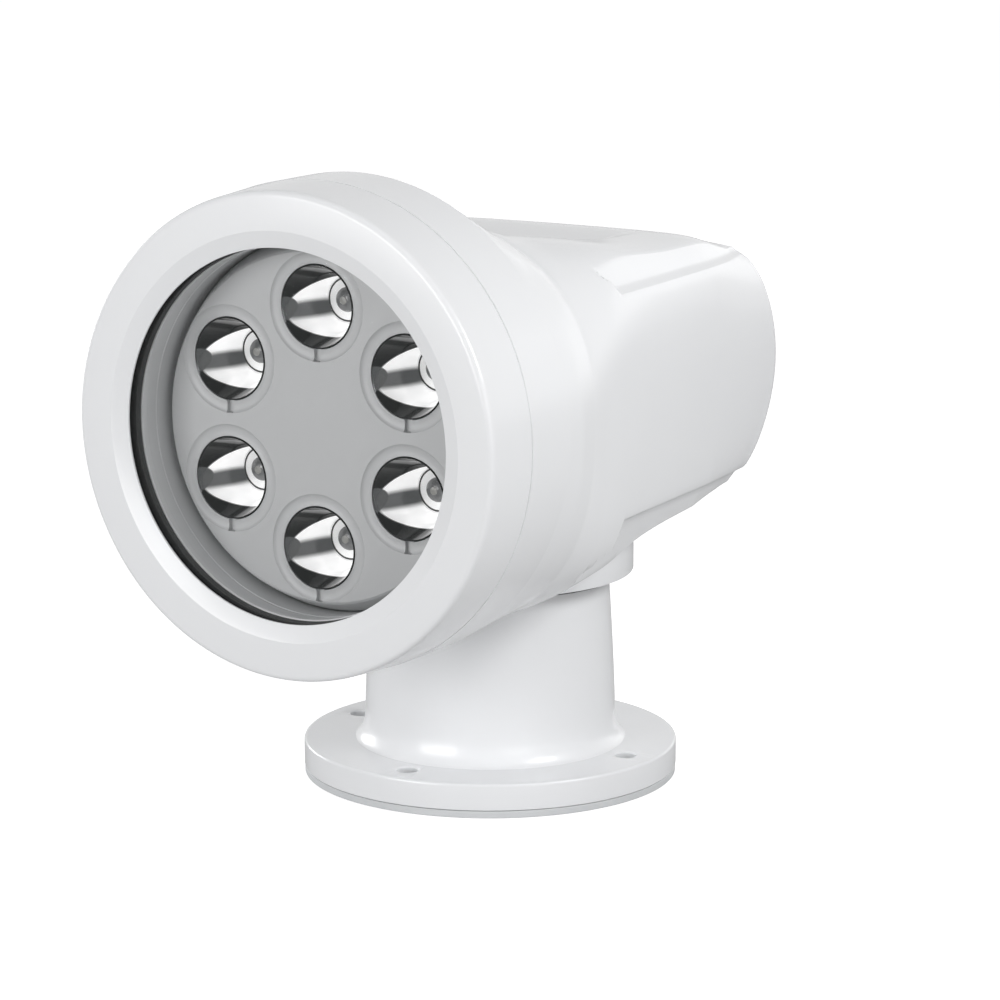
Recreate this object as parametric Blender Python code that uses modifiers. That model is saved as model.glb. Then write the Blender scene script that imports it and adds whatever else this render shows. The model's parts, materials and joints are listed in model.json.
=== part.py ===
"""A remote-steered marine searchlight: a bolted pedestal, a head that pans on it without end,
and six LED cups on a tray that tilts behind a fixed glass. Metres, +Z up, the lamp faces -Y.
The origin is on the pan axis, in the plane of the deck that the base gasket rests on."""

import math

import bmesh
import bpy
from mathutils import Vector

MM = 0.001
GAP = 0.3 * MM  # running and seating clearance between two pieces that touch

# pedestal
COLUMN_TOP_RADIUS = 50.7 * MM
COLUMN_FLARE = 2.9 * MM
FLANGE_BRIM = 26.4 * MM
FLANGE_THICKNESS = 11.3 * MM
GASKET_THICKNESS = 3.0 * MM
BOLT_INSET = 13.25 * MM
BOLT_HOLE_RADIUS = 4.5 * MM
BOLT_COUNT = 4
COLUMN_FOOT_Z = 31.0 * MM
FOOT_FILLET = 3.6 * MM
COLUMN_WALL = 4.2 * MM
DECK_TOP_Z = 91.0 * MM
DECK_THICKNESS = 6.0 * MM
COVER_INSET = 7.9 * MM
COVER_THICKNESS = 3.7 * MM
COVER_UNDER_Z = 15.7 * MM
COVER_LEDGE_WIDTH = 9.5 * MM
COVER_SCREW_RADIUS = 2.0 * MM
GLAND_CLEARANCE = 0.5 * MM
GLAND_HEX_RADIUS = 12.0 * MM
GLAND_HEX_HEIGHT = 5.0 * MM
GLAND_CAP_HEIGHT = 8.0 * MM
GLAND_THREAD_LENGTH = 11.0 * MM
GLAND_NUT_HEIGHT = 4.0 * MM
COLUMN_FOOT_RADIUS = COLUMN_TOP_RADIUS + COLUMN_FLARE
FLANGE_RADIUS = COLUMN_FOOT_RADIUS + FLANGE_BRIM
BOLT_CIRCLE_RADIUS = FLANGE_RADIUS - BOLT_INSET
COVER_RADIUS = COLUMN_FOOT_RADIUS - COVER_INSET
GLAND_OFFSET = COVER_RADIUS + GAP - COVER_LEDGE_WIDTH - GLAND_HEX_RADIUS - GLAND_CLEARANCE
GLAND_THREAD_RADIUS = 0.64 * GLAND_HEX_RADIUS
GLAND_BORE_RADIUS = GLAND_HEX_RADIUS / 3

# pan bearing, gears and slip ring
BEARING_SHARE = 0.4636  # of the column's top radius, which the bearing's seat fills
BEARING_OUTER_RADIUS = BEARING_SHARE * COLUMN_TOP_RADIUS
BEARING_BORE_RADIUS = 0.532 * BEARING_OUTER_RADIUS
BEARING_WIDTH = 11.4 * MM
RACE_WALL = 0.336 * (BEARING_OUTER_RADIUS - BEARING_BORE_RADIUS)
BALL_RADIUS = 0.136 * (BEARING_OUTER_RADIUS - BEARING_BORE_RADIUS)
BOSS_WALL = 4.2 * MM
BOSS_DEPTH = 24.7 * MM
SPINDLE_BORE_RADIUS = 0.64 * BEARING_BORE_RADIUS
SPINDLE_LENGTH = 23.0 * MM
NUT_HEIGHT = 8.0 * MM
RING_GEAR_TEETH = 40
PAN_PINION_TEETH = 12
RING_GEAR_HEIGHT = 5.0 * MM
PINION_SHAFT_RADIUS = 2.5 * MM
PAN_MOTOR_HEIGHT = 26.0 * MM
TURNTABLE_THICKNESS = 4.0 * MM
TURNTABLE_CLEARANCE = 0.7 * MM
TURNTABLE_SCREW_RADIUS = 2.0 * MM
SLIP_RING_WALL = 8.0 * MM
SLIP_RING_LENGTH = 28.0 * MM

# head shell
COLLAR_OVERHANG = 10.5 * MM
COLLAR_WALL = 3.5 * MM
COLLAR_UNDER_DECK = 2.35 * MM
FLOOR_RING_WIDTH = 5.7 * MM
SHELL_RADIUS = 98.4 * MM
HEAD_SINK = 17.55 * MM
SHELL_FRONT_Y = -131.6 * MM
SHELL_STEP_Y = -103.0 * MM
SHELL_WALL = 3.6 * MM
HOLLOW_DEPTH = 4.0 * MM
HOLLOW_FRONT_Y = -70.0 * MM
HOLLOW_BACK_Y = 62.0 * MM
HOLLOW_FLOOR = 0.34  # half widths of the hollow's floor and of its rims, as shares of the shell's
HOLLOW_RIM = 0.5  # radius
REBATE_DEPTH = 4.3 * MM
REBATE_RISE = 2.2 * MM
REBATE_START_Y = -45.0 * MM
# heights of the ledges over and under the axis as shares of the shell's radius, front and back
UPPER_LEDGE = (0.495, 0.465)
LOWER_LEDGE = (0.435, 0.486)
REAR_DOME_Y = 137.0 * MM
REAR_DOME_SIDE = 0.295 / SHELL_RADIUS  # the dome's fall per metre squared across, and upwards
REAR_DOME_UP = 1.053 / SHELL_RADIUS
REAR_FILLET = 4.5 * MM
REAR_START_Y = 50.0 * MM
REAR_RUN = 60.0 * MM
# y; half width, height above the axis and depth below it as shares of the shell's radius; and
# the squareness of the section
SHELL_STATIONS = (
    (-103.0, 1.0, 1.0, 1.0, 2.0),
    (-92.0, 0.9949, 0.9085, 0.9502, 2.2),
    (-80.0, 0.9776, 0.8171, 0.9045, 2.5),
    (-65.0, 0.9583, 0.752, 0.8435, 3.4),
    (-50.0, 0.9421, 0.7165, 0.7724, 4.8),
    (-30.0, 0.9207, 0.6839, 0.7063, 7.0),
    (-10.0, 0.8984, 0.6514, 0.6423, 9.0),
    (15.0, 0.872, 0.627, 0.6138, 10.0),
    (50.0, 0.8333, 0.6098, 0.6006, 10.0),
    (72.0, 0.81, 0.5945, 0.5904, 10.0),
    (92.0, 0.7886, 0.5589, 0.5813, 10.0),
    (112.0, 0.7663, 0.5132, 0.5732, 10.0),
    (124.0, 0.7541, 0.4878, 0.5671, 10.0),
)
COLLAR_RIM_Z = DECK_TOP_Z - COLLAR_UNDER_DECK
HEAD_AXIS_Z = COLLAR_RIM_Z + SHELL_RADIUS - HEAD_SINK
COLLAR_RADIUS = COLUMN_TOP_RADIUS + COLLAR_OVERHANG
COLLAR_INSIDE = COLLAR_RADIUS - COLLAR_WALL
FLOOR_HOLE_RADIUS = COLLAR_INSIDE - FLOOR_RING_WIDTH
# the pan motor stands in the floor hole, and the gears fill the way to it from the axis
PAN_MOTOR_CLEARANCE = 1.0 * MM
PAN_MOTOR_RADIUS = 3 / 13 * FLOOR_HOLE_RADIUS
PAN_CENTRES = FLOOR_HOLE_RADIUS - PAN_MOTOR_RADIUS - PAN_MOTOR_CLEARANCE
PAN_MODULE = 2 * PAN_CENTRES / (RING_GEAR_TEETH + PAN_PINION_TEETH)

# bezel, glass and shroud
BEZEL_FRONT_Y = -158.2 * MM
BEZEL_TAPER = 1.8 * MM
BEZEL_EDGE = 2.6 * MM
BEZEL_FACE = 15.5 * MM
CHAMFER_DEPTH = 2.4 * MM
LENS_INSET = 1.1 * MM
LENS_COVER = 5.75 * MM
LIP_THICKNESS = 0.9 * MM
LENS_THICKNESS = 3.0 * MM
LENS_GASKET_THICKNESS = 0.7 * MM
BEZEL_WALL = 7.0 * MM
SPIGOT_LENGTH = 7.6 * MM
SEAL_WIDTH = 2.4 * MM
SEAL_DEPTH = 1.8 * MM
SHROUD_SETBACK = 0.45 * MM
SHROUD_FLARE = 2.0 * MM
SHROUD_END_Y = -121.0 * MM
BEZEL_FRONT_RADIUS = SHELL_RADIUS - BEZEL_TAPER
CHAMFER_RADIUS = BEZEL_FRONT_RADIUS - BEZEL_FACE
LENS_RADIUS = CHAMFER_RADIUS - LENS_INSET
GLASS_OPENING_RADIUS = LENS_RADIUS - LENS_COVER
SHROUD_FRONT_RADIUS = GLASS_OPENING_RADIUS - SHROUD_SETBACK
SHROUD_REAR_RADIUS = SHROUD_FRONT_RADIUS + SHROUD_FLARE

# tilting optics
TILT_AXIS_Y = -112.0 * MM
TRAY_FRONT_Y = -131.9 * MM
TRAY_CLEARANCE = 4.8 * MM
TRAY_RADIUS = SHROUD_REAR_RADIUS - TRAY_CLEARANCE
TRAY_PLATE = 3.2 * MM
TRAY_SKIRT_WALL = 3.5 * MM
TRAY_DEPTH = 28.0 * MM
CUP_COUNT = 6
CUP_CIRCLE_RADIUS = 0.681 * TRAY_RADIUS
CUP_RADIUS = 0.2352 * TRAY_RADIUS
CUP_WALL = 0.9 * MM
CUP_DEPTH = 22.6 * MM
CUP_THROAT_RADIUS = 0.2635 * CUP_RADIUS
CUP_RECESS_RADIUS = 1.3 * CUP_RADIUS
CUP_RECESS_DEPTH = 1.0 * MM
LED_RADIUS = 0.59 * CUP_THROAT_RADIUS
LED_SEAT_RADIUS = 0.886 * CUP_THROAT_RADIUS
LED_SEAT_HEIGHT = 0.5 * MM
LED_BOARD_THICKNESS = 1.6 * MM
HEAT_SINK_INSET = 3.5 * MM
HEAT_SINK_RADIUS = TRAY_RADIUS - TRAY_SKIRT_WALL - HEAT_SINK_INSET
HEAT_SINK_BASE = 5.0 * MM
FIN_COUNT = 9
FIN_PITCH = 0.1875 * HEAT_SINK_RADIUS
FIN_THICKNESS = 2.2 * MM
FIN_HALF_HEIGHT = 0.5625 * HEAT_SINK_RADIUS
FIN_LENGTH = 35.0 * MM
TRUNNION_RADIUS = 3.0 * MM
TRUNNION_COLLAR_RADIUS = 6.0 * MM
BRACKET_WIDTH = 13.0 * MM
BRACKET_HEIGHT = 22.0 * MM
BRACKET_DEPTH = 16.0 * MM
SECTOR_TEETH = 66
SECTOR_HALF_ANGLE = math.radians(20.0)
TILT_MODULE = 1.5 * MM
SECTOR_X = 4.5 * FIN_PITCH
SECTOR_THICKNESS = 3.0 * MM
SECTOR_FOOT = 3.5 * MM
TILT_PINION_TEETH = 10
TILT_MOTOR_RADIUS = 12.0 * MM
TILT_MOTOR_LENGTH = 20.0 * MM

# control board
BOARD_HALF_WIDTH = 0.447 * SHELL_RADIUS
BOARD_DEPTH = 24.0 * MM
BOARD_FRONT_Y = 68.0 * MM
BOARD_THICKNESS = 1.6 * MM
BOARD_STAND_OFF = 7.0 * MM
STAND_OFF_RADIUS = 3.0 * MM
STAND_OFF_INSET = 8.0 * MM

SHELL_STEPS = 48
ROUND_STEPS = 32
FINE_STEPS = 40
SMALL_STEPS = 16
CUP_STEPS = 16


for old in list(bpy.data.objects):
    bpy.data.objects.remove(old, do_unlink=True)

scene = bpy.context.scene
PARTS = bpy.data.collections.new("marine_searchlight")
CUTTERS = bpy.data.collections.new("cutters")
scene.collection.children.link(PARTS)
scene.collection.children.link(CUTTERS)


def material(name, colour, roughness, metallic=0.0, transmission=0.0):
    """A plain Principled material; colour is sRGB 0-1."""
    mat = bpy.data.materials.new(name)
    mat.use_nodes = True
    shader = mat.node_tree.nodes["Principled BSDF"]
    linear = [c / 12.92 if c <= 0.04045 else ((c + 0.055) / 1.055) ** 2.4 for c in colour]
    shader.inputs["Base Color"].default_value = (*linear, 1.0)
    shader.inputs["Roughness"].default_value = roughness
    shader.inputs["Metallic"].default_value = metallic
    shader.inputs["Transmission Weight"].default_value = transmission
    mat.diffuse_color = (*linear, 1.0)
    return mat


WHITE = material("white gloss moulding", (0.93, 0.93, 0.92), 0.22)
RUBBER = material("black rubber", (0.10, 0.10, 0.10), 0.75)
GASKET_GREY = material("grey silicone", (0.62, 0.62, 0.62), 0.6)
GREY = material("grey tray moulding", (0.56, 0.57, 0.58), 0.45)
DARK = material("dark grey shroud", (0.24, 0.25, 0.26), 0.5)
CHROME = material("aluminised cup", (0.92, 0.93, 0.94), 0.06, 1.0)
ALUMINIUM = material("cast aluminium", (0.72, 0.73, 0.74), 0.4, 1.0)
STEEL = material("stainless steel", (0.68, 0.68, 0.67), 0.25, 1.0)
BRASS = material("machined brass", (0.76, 0.62, 0.36), 0.3, 1.0)
NYLON = material("black nylon", (0.09, 0.09, 0.10), 0.5)
ACETAL = material("white acetal", (0.88, 0.88, 0.85), 0.4)
GLASS = material("clear glass", (0.98, 0.99, 0.99), 0.02, 0.0, 1.0)
BOARD = material("green circuit board", (0.07, 0.30, 0.18), 0.5)
MOTOR = material("black motor can", (0.13, 0.13, 0.14), 0.4, 0.6)


def parent_empty(name, location, parent=None):
    empty = bpy.data.objects.new(name, None)
    empty.location = Vector(location) - (Vector(world_of[parent]) if parent else Vector())
    empty.parent = parent
    PARTS.objects.link(empty)
    world_of[empty] = tuple(location)
    return empty


world_of = {None: (0.0, 0.0, 0.0)}
PAN_AXIS = parent_empty("pan_axis", (0.0, 0.0, 0.0))
TILT_AXIS = parent_empty("tilt_axis", (0.0, TILT_AXIS_Y, HEAD_AXIS_Z), PAN_AXIS)


def add(name, mesh, mat, location=(0, 0, 0), rotation=(0, 0, 0), parent=None, cutter=False):
    """One object, placed in world terms under its parent; a cutter has no material."""
    obj = bpy.data.objects.new(name, mesh)
    obj.parent = parent
    obj.location = Vector(location) - Vector(world_of[parent])
    obj.rotation_euler = rotation
    if mat:
        mesh.materials.append(mat)
    (CUTTERS if cutter else PARTS).objects.link(obj)
    if cutter:
        obj.hide_render = True
        obj.display_type = "WIRE"
    return obj


def tool(name, mesh, location=(0, 0, 0), rotation=(0, 0, 0), parent=None):
    return add(name, mesh, None, location, rotation, parent, cutter=True)


def boolean(obj, other, operation="DIFFERENCE"):
    mod = obj.modifiers.new(operation.lower() + " " + other.name, "BOOLEAN")
    mod.operation = operation
    mod.solver = "EXACT"
    mod.object = other
    return obj


def soften(obj, angle=35.0):
    obj.data.shade_smooth()
    obj.data.set_sharp_from_angle(angle=math.radians(angle))
    return obj


def lathe(profile, steps=ROUND_STEPS):
    """A mesh turned about Z from (radius, z) points: a closed ring, or open between two points on
    the axis. The points are put in the order that faces the surface outwards."""
    open_ended = profile[0][0] == 0.0 and profile[-1][0] == 0.0
    pairs = list(zip(profile, profile[1:] + profile[:1]))
    if sum(a[0] * b[1] - b[0] * a[1] for a, b in pairs) > 0:
        profile = profile[::-1]
    mesh = bpy.data.meshes.new("profile")
    count = len(profile)
    edges = [(i, (i + 1) % count) for i in range(count - 1 if open_ended else count)]
    mesh.from_pydata([(r, 0.0, z) for r, z in profile], edges, [])
    carrier = bpy.data.objects.new("turning", mesh)
    scene.collection.objects.link(carrier)
    screw = carrier.modifiers.new("turn", "SCREW")
    screw.angle = 2 * math.pi
    screw.steps = screw.render_steps = steps
    screw.use_merge_vertices = True
    screw.merge_threshold = 0.000001
    bpy.context.view_layer.update()
    graph = bpy.context.evaluated_depsgraph_get()
    turned = bpy.data.meshes.new_from_object(carrier.evaluated_get(graph))
    bpy.data.objects.remove(carrier, do_unlink=True)
    bm = bmesh.new()
    bm.from_mesh(turned)
    bmesh.ops.remove_doubles(bm, verts=bm.verts, dist=0.000001)
    bmesh.ops.recalc_face_normals(bm, faces=bm.faces)
    bm.to_mesh(turned)
    bm.free()
    return turned


def cylinder(radius, low, high, steps=SMALL_STEPS, at=(0.0, 0.0)):
    """A plain cylinder along Z between two heights."""
    bm = bmesh.new()
    bmesh.ops.create_cone(bm, cap_ends=True, segments=steps, radius1=radius, radius2=radius,
                          depth=high - low)
    bmesh.ops.translate(bm, verts=bm.verts, vec=(at[0], at[1], (low + high) / 2))
    mesh = bpy.data.meshes.new("cylinder")
    bm.to_mesh(mesh)
    bm.free()
    return mesh


def box(size, centre=(0.0, 0.0, 0.0)):
    bm = bmesh.new()
    bmesh.ops.create_cube(bm, size=1.0)
    bmesh.ops.scale(bm, verts=bm.verts, vec=size)
    bmesh.ops.translate(bm, verts=bm.verts, vec=centre)
    mesh = bpy.data.meshes.new("box")
    bm.to_mesh(mesh)
    bm.free()
    return mesh


def prism(outline, low, high):
    """A flat outline of (x, y) points drawn up along Z."""
    bm = bmesh.new()
    face = bm.faces.new([bm.verts.new((x, y, low)) for x, y in outline])
    drawn = bmesh.ops.extrude_face_region(bm, geom=[face])
    moved = [v for v in drawn["geom"] if isinstance(v, bmesh.types.BMVert)]
    bmesh.ops.translate(bm, verts=moved, vec=(0, 0, high - low))
    bmesh.ops.recalc_face_normals(bm, faces=bm.faces)
    mesh = bpy.data.meshes.new("prism")
    bm.to_mesh(mesh)
    bm.free()
    return mesh


def joined(meshes):
    """Several meshes in one, for a cutter or for pieces that a union then makes one body."""
    bm = bmesh.new()
    for mesh in meshes:
        bm.from_mesh(mesh)
    whole = bpy.data.meshes.new("joined")
    bm.to_mesh(whole)
    bm.free()
    return whole


def loft(rings, nose=None):
    """A closed body through rings of equal count; the last closes on a point where one is given."""
    bm = bmesh.new()
    rows = [[bm.verts.new(p) for p in ring] for ring in rings]
    for a, b in zip(rows, rows[1:]):
        for i in range(len(a)):
            j = (i + 1) % len(a)
            bm.faces.new((a[i], a[j], b[j], b[i]))
    bm.faces.new(rows[0][::-1])
    if nose is None:
        bm.faces.new(rows[-1])
    else:
        tip = bm.verts.new(nose)
        for i in range(len(rows[-1])):
            bm.faces.new((rows[-1][i], rows[-1][(i + 1) % len(rows[-1])], tip))
    bmesh.ops.recalc_face_normals(bm, faces=bm.faces)
    mesh = bpy.data.meshes.new("loft")
    bm.to_mesh(mesh)
    bm.free()
    return mesh


def around(radius, count, start=0.0):
    """(x, y) of points spread evenly on a circle."""
    step = 2 * math.pi / count
    return [(radius * math.cos(start + i * step), radius * math.sin(start + i * step))
            for i in range(count)]


def involute_outline(teeth, module, centre=0.0, thin=0.11 * MM, first=0, last=None):
    """The (x, y) outline of an external gear with 20 degree involute flanks, backlash taken off
    each flank. A tooth is centred on the angle given. first and last limit the teeth of a sector."""
    pitch = module * teeth / 2
    base = pitch * math.cos(math.radians(20))
    tip = pitch + module
    root = pitch - 1.25 * module
    half = math.pi / (2 * teeth) - thin / pitch
    involute = math.tan(math.radians(20)) - math.radians(20)

    def half_angle(radius):
        if radius <= base:
            return half + involute
        press = math.acos(base / radius)
        return half + involute - (math.tan(press) - press)

    radii = [root, pitch, tip] if teeth > 20 else [root, base, pitch, tip]
    points = []
    for tooth in range(first, teeth if last is None else last):
        mid = centre + 2 * math.pi * tooth / teeth
        flank = [(r, -half_angle(r)) for r in radii]
        flank += [(r, half_angle(r)) for r in reversed(radii)]
        points += [(r * math.cos(mid + a), r * math.sin(mid + a)) for r, a in flank]
    return points


FORWARD = (math.pi / 2, 0.0, 0.0)  # turns a piece's own +Z to face -Y, like the lamp
SIDEWAYS = (0.0, math.pi / 2, 0.0)  # turns a piece's own +Z to +X
HEAD_CENTRE = (0.0, 0.0, HEAD_AXIS_Z)


# pedestal: turned flange, tapered column, deck with the bearing boss under it
GASKET_TOP = GASKET_THICKNESS
FLANGE_UNDER = GASKET_TOP + GAP
FLANGE_TOP = FLANGE_UNDER + FLANGE_THICKNESS
BOSS_RADIUS = BEARING_OUTER_RADIUS + GAP + BOSS_WALL
BEARING_TOP = DECK_TOP_Z - GAP
BEARING_UNDER = BEARING_TOP - BEARING_WIDTH
BOSS_UNDER = DECK_TOP_Z - BOSS_DEPTH
COLUMN_INSIDE = COLUMN_TOP_RADIUS - COLUMN_WALL
RECESS_RADIUS = COVER_RADIUS + GAP
LEDGE_UNDER = COVER_UNDER_Z + COVER_THICKNESS + GAP
LEDGE_RADIUS = RECESS_RADIUS - COVER_LEDGE_WIDTH
SEAL_STEP = 1.7 * MM
SEAL_STEP_Z = DECK_TOP_Z - 4.0 * MM


def column_radius(z):
    """The outside of the column, slightly bowed from its foot to its top."""
    t = (z - COLUMN_FOOT_Z) / (SEAL_STEP_Z - COLUMN_FOOT_Z)
    return COLUMN_FOOT_RADIUS + (COLUMN_TOP_RADIUS - COLUMN_FOOT_RADIUS) * t ** 1.25


column = [(column_radius(z), z) for z in
          (COLUMN_FOOT_Z + (SEAL_STEP_Z - COLUMN_FOOT_Z) * t for t in (1, 0.5, 0))]
foot = [(COLUMN_FOOT_RADIUS + FOOT_FILLET * s, FLANGE_TOP + (COLUMN_FOOT_Z - FLANGE_TOP) * h)
        for s, h in ((0.3, 0.5), (0.95, 0.12))]
flange = [(COLUMN_FOOT_RADIUS + FOOT_FILLET * 1.25, FLANGE_TOP),
          (FLANGE_RADIUS - 0.9 * MM, FLANGE_TOP), (FLANGE_RADIUS, FLANGE_TOP - 0.9 * MM),
          (FLANGE_RADIUS, FLANGE_UNDER)]
inside = [(RECESS_RADIUS, FLANGE_UNDER), (RECESS_RADIUS, LEDGE_UNDER),
          (LEDGE_RADIUS, LEDGE_UNDER), (LEDGE_RADIUS, LEDGE_UNDER + 5 * MM),
          (COLUMN_INSIDE, LEDGE_UNDER + 8 * MM),
          (COLUMN_INSIDE, DECK_TOP_Z - DECK_THICKNESS),
          (BOSS_RADIUS, DECK_TOP_Z - DECK_THICKNESS), (BOSS_RADIUS, BOSS_UNDER),
          (BEARING_OUTER_RADIUS - RACE_WALL + GAP, BOSS_UNDER),
          (BEARING_OUTER_RADIUS - RACE_WALL + GAP, BEARING_UNDER - GAP),
          (BEARING_OUTER_RADIUS + GAP, BEARING_UNDER - GAP),
          (BEARING_OUTER_RADIUS + GAP, DECK_TOP_Z)]
top = [(COLUMN_TOP_RADIUS - SEAL_STEP, DECK_TOP_Z), (COLUMN_TOP_RADIUS - SEAL_STEP, SEAL_STEP_Z)]
pedestal = add("pedestal", lathe(top + column + foot + flange + inside), WHITE)
bolt_cutter = tool("bolt_holes", joined([
    cylinder(BOLT_HOLE_RADIUS, -10 * MM, FLANGE_TOP + 10 * MM, 16, at)
    for at in around(BOLT_CIRCLE_RADIUS, BOLT_COUNT)]))
COVER_SCREW_CIRCLE = (RECESS_RADIUS + LEDGE_RADIUS) / 2
cover_screw_places = around(COVER_SCREW_CIRCLE, 4, math.radians(45))
cover_screw_cutter = tool("cover_screw_holes", joined([
    cylinder(COVER_SCREW_RADIUS + GAP, COVER_UNDER_Z - 10 * MM, LEDGE_UNDER + 12 * MM, 8, at)
    for at in cover_screw_places]))
boolean(pedestal, bolt_cutter)
boolean(pedestal, cover_screw_cutter)
soften(pedestal)

base_gasket = add("base_gasket", cylinder(FLANGE_RADIUS - 0.2 * MM, 0.0, GASKET_TOP, ROUND_STEPS),
                  GASKET_GREY)
boolean(base_gasket, bolt_cutter)
boolean(base_gasket, tool("gland_access", cylinder(
    GLAND_HEX_RADIUS + 1.5 * MM, -10 * MM, GASKET_TOP + 10 * MM, 16, (0.0, GLAND_OFFSET))))

bottom_cover = add("bottom_cover", cylinder(
    COVER_RADIUS, COVER_UNDER_Z, COVER_UNDER_Z + COVER_THICKNESS, ROUND_STEPS), NYLON)
boolean(bottom_cover, cover_screw_cutter)
boolean(bottom_cover, tool("gland_hole", cylinder(
    GLAND_THREAD_RADIUS + GAP, COVER_UNDER_Z - 5 * MM, LEDGE_UNDER + 5 * MM, SMALL_STEPS,
    (0.0, GLAND_OFFSET))))
for number, (x, y) in enumerate(cover_screw_places, 1):
    head = COVER_UNDER_Z - GAP
    add(f"cover_screw_{number}", lathe([
        (0.0, head + COVER_THICKNESS + 7 * MM), (COVER_SCREW_RADIUS, head + COVER_THICKNESS + 7 * MM),
        (COVER_SCREW_RADIUS, head), (1.8 * COVER_SCREW_RADIUS, head),
        (1.5 * COVER_SCREW_RADIUS, head - COVER_SCREW_RADIUS), (0.0, head - COVER_SCREW_RADIUS)],
        8), STEEL, (x, y, 0.0))

gland_top = COVER_UNDER_Z - GAP
gland_hex_under = gland_top - GLAND_HEX_HEIGHT
gland_end = gland_hex_under - GLAND_CAP_HEIGHT
gland_cap_radius = GLAND_HEX_RADIUS - 1 * MM
cable_gland = add("cable_gland", lathe([
    (GLAND_BORE_RADIUS, gland_top + GLAND_THREAD_LENGTH),
    (GLAND_THREAD_RADIUS, gland_top + GLAND_THREAD_LENGTH),
    (GLAND_THREAD_RADIUS, gland_top), (GLAND_HEX_RADIUS, gland_top),
    (GLAND_HEX_RADIUS, gland_hex_under),
    (gland_cap_radius, gland_hex_under - 0.05 * GLAND_CAP_HEIGHT),
    (gland_cap_radius, gland_hex_under - 0.62 * GLAND_CAP_HEIGHT),
    (0.6 * gland_cap_radius, gland_end), (GLAND_BORE_RADIUS, gland_end)], 16), NYLON,
    (0.0, GLAND_OFFSET, 0.0))
gland_nut = add("gland_nut", cylinder(
    GLAND_HEX_RADIUS, LEDGE_UNDER, LEDGE_UNDER + GLAND_NUT_HEIGHT, 6, (0.0, 0.0)), NYLON,
    (0.0, GLAND_OFFSET, 0.0))
boolean(gland_nut, tool("gland_nut_bore", cylinder(
    GLAND_THREAD_RADIUS + GAP, LEDGE_UNDER - 3 * MM, LEDGE_UNDER + 8 * MM, SMALL_STEPS),
    (0.0, GLAND_OFFSET, 0.0)))

# pan bearing, ring gear, seal and slip ring
def ring_of(inner, outer, low, high, chamfer=0.0):
    c = chamfer
    return [(inner, high - c), (inner + c, high), (outer - c, high), (outer, high - c),
            (outer, low + c), (outer - c, low), (inner + c, low), (inner, low + c)] if c else [
            (inner, high), (outer, high), (outer, low), (inner, low)]


outer_race = add("pan_bearing_outer_race", lathe(ring_of(
    BEARING_OUTER_RADIUS - RACE_WALL, BEARING_OUTER_RADIUS, BEARING_UNDER, BEARING_TOP),
    24), STEEL)
inner_race = add("pan_bearing_inner_race", lathe(ring_of(
    BEARING_BORE_RADIUS, BEARING_BORE_RADIUS + RACE_WALL, BEARING_UNDER, BEARING_TOP),
    24), STEEL, parent=PAN_AXIS)
BALL_CIRCLE = (BEARING_OUTER_RADIUS + BEARING_BORE_RADIUS) / 2
BEARING_MID = (BEARING_TOP + BEARING_UNDER) / 2
cage = add("pan_bearing_cage", lathe(ring_of(
    BALL_CIRCLE - BALL_RADIUS, BALL_CIRCLE + BALL_RADIUS, BEARING_MID - 2 * BALL_RADIUS,
    BEARING_MID + 2 * BALL_RADIUS), 24), BRASS, parent=PAN_AXIS)

gear_low = DECK_TOP_Z + GAP
ring_gear = add("ring_gear", prism(involute_outline(RING_GEAR_TEETH, PAN_MODULE), gear_low,
                                   gear_low + RING_GEAR_HEIGHT), ACETAL)
boolean(ring_gear, tool("ring_gear_bore", cylinder(
    BEARING_OUTER_RADIUS - 1.0 * MM, gear_low - 5 * MM, gear_low + RING_GEAR_HEIGHT + 5 * MM, 32)))
soften(ring_gear)

TURNTABLE_UNDER = gear_low + RING_GEAR_HEIGHT + TURNTABLE_CLEARANCE
TURNTABLE_TOP = TURNTABLE_UNDER + TURNTABLE_THICKNESS
pan_seal = add("pan_seal", lathe([
    (COLUMN_TOP_RADIUS - SEAL_STEP + GAP, DECK_TOP_Z - GAP),
    (COLUMN_TOP_RADIUS + 1.2 * MM, DECK_TOP_Z - GAP),
    (COLLAR_INSIDE - GAP, SEAL_STEP_Z + 2.2 * MM), (COLLAR_INSIDE - GAP, SEAL_STEP_Z + GAP),
    (COLUMN_TOP_RADIUS - SEAL_STEP + GAP, SEAL_STEP_Z + GAP)]), RUBBER)

stator_top = BOSS_UNDER - GAP
slip_ring_radius = 0.875 * SPINDLE_BORE_RADIUS + SLIP_RING_WALL
stator = add("slip_ring_stator", lathe([
    (0.912 * SPINDLE_BORE_RADIUS, stator_top), (BOSS_RADIUS - 2 * MM, stator_top),
    (BOSS_RADIUS - 2 * MM, stator_top - 3.5 * MM), (slip_ring_radius, stator_top - 3.5 * MM),
    (slip_ring_radius, stator_top - SLIP_RING_LENGTH), (0.0, stator_top - SLIP_RING_LENGTH),
    (0.0, stator_top - SLIP_RING_LENGTH + 5 * MM),
    (0.912 * SPINDLE_BORE_RADIUS, stator_top - SLIP_RING_LENGTH + 5 * MM)], 16), NYLON)

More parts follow.
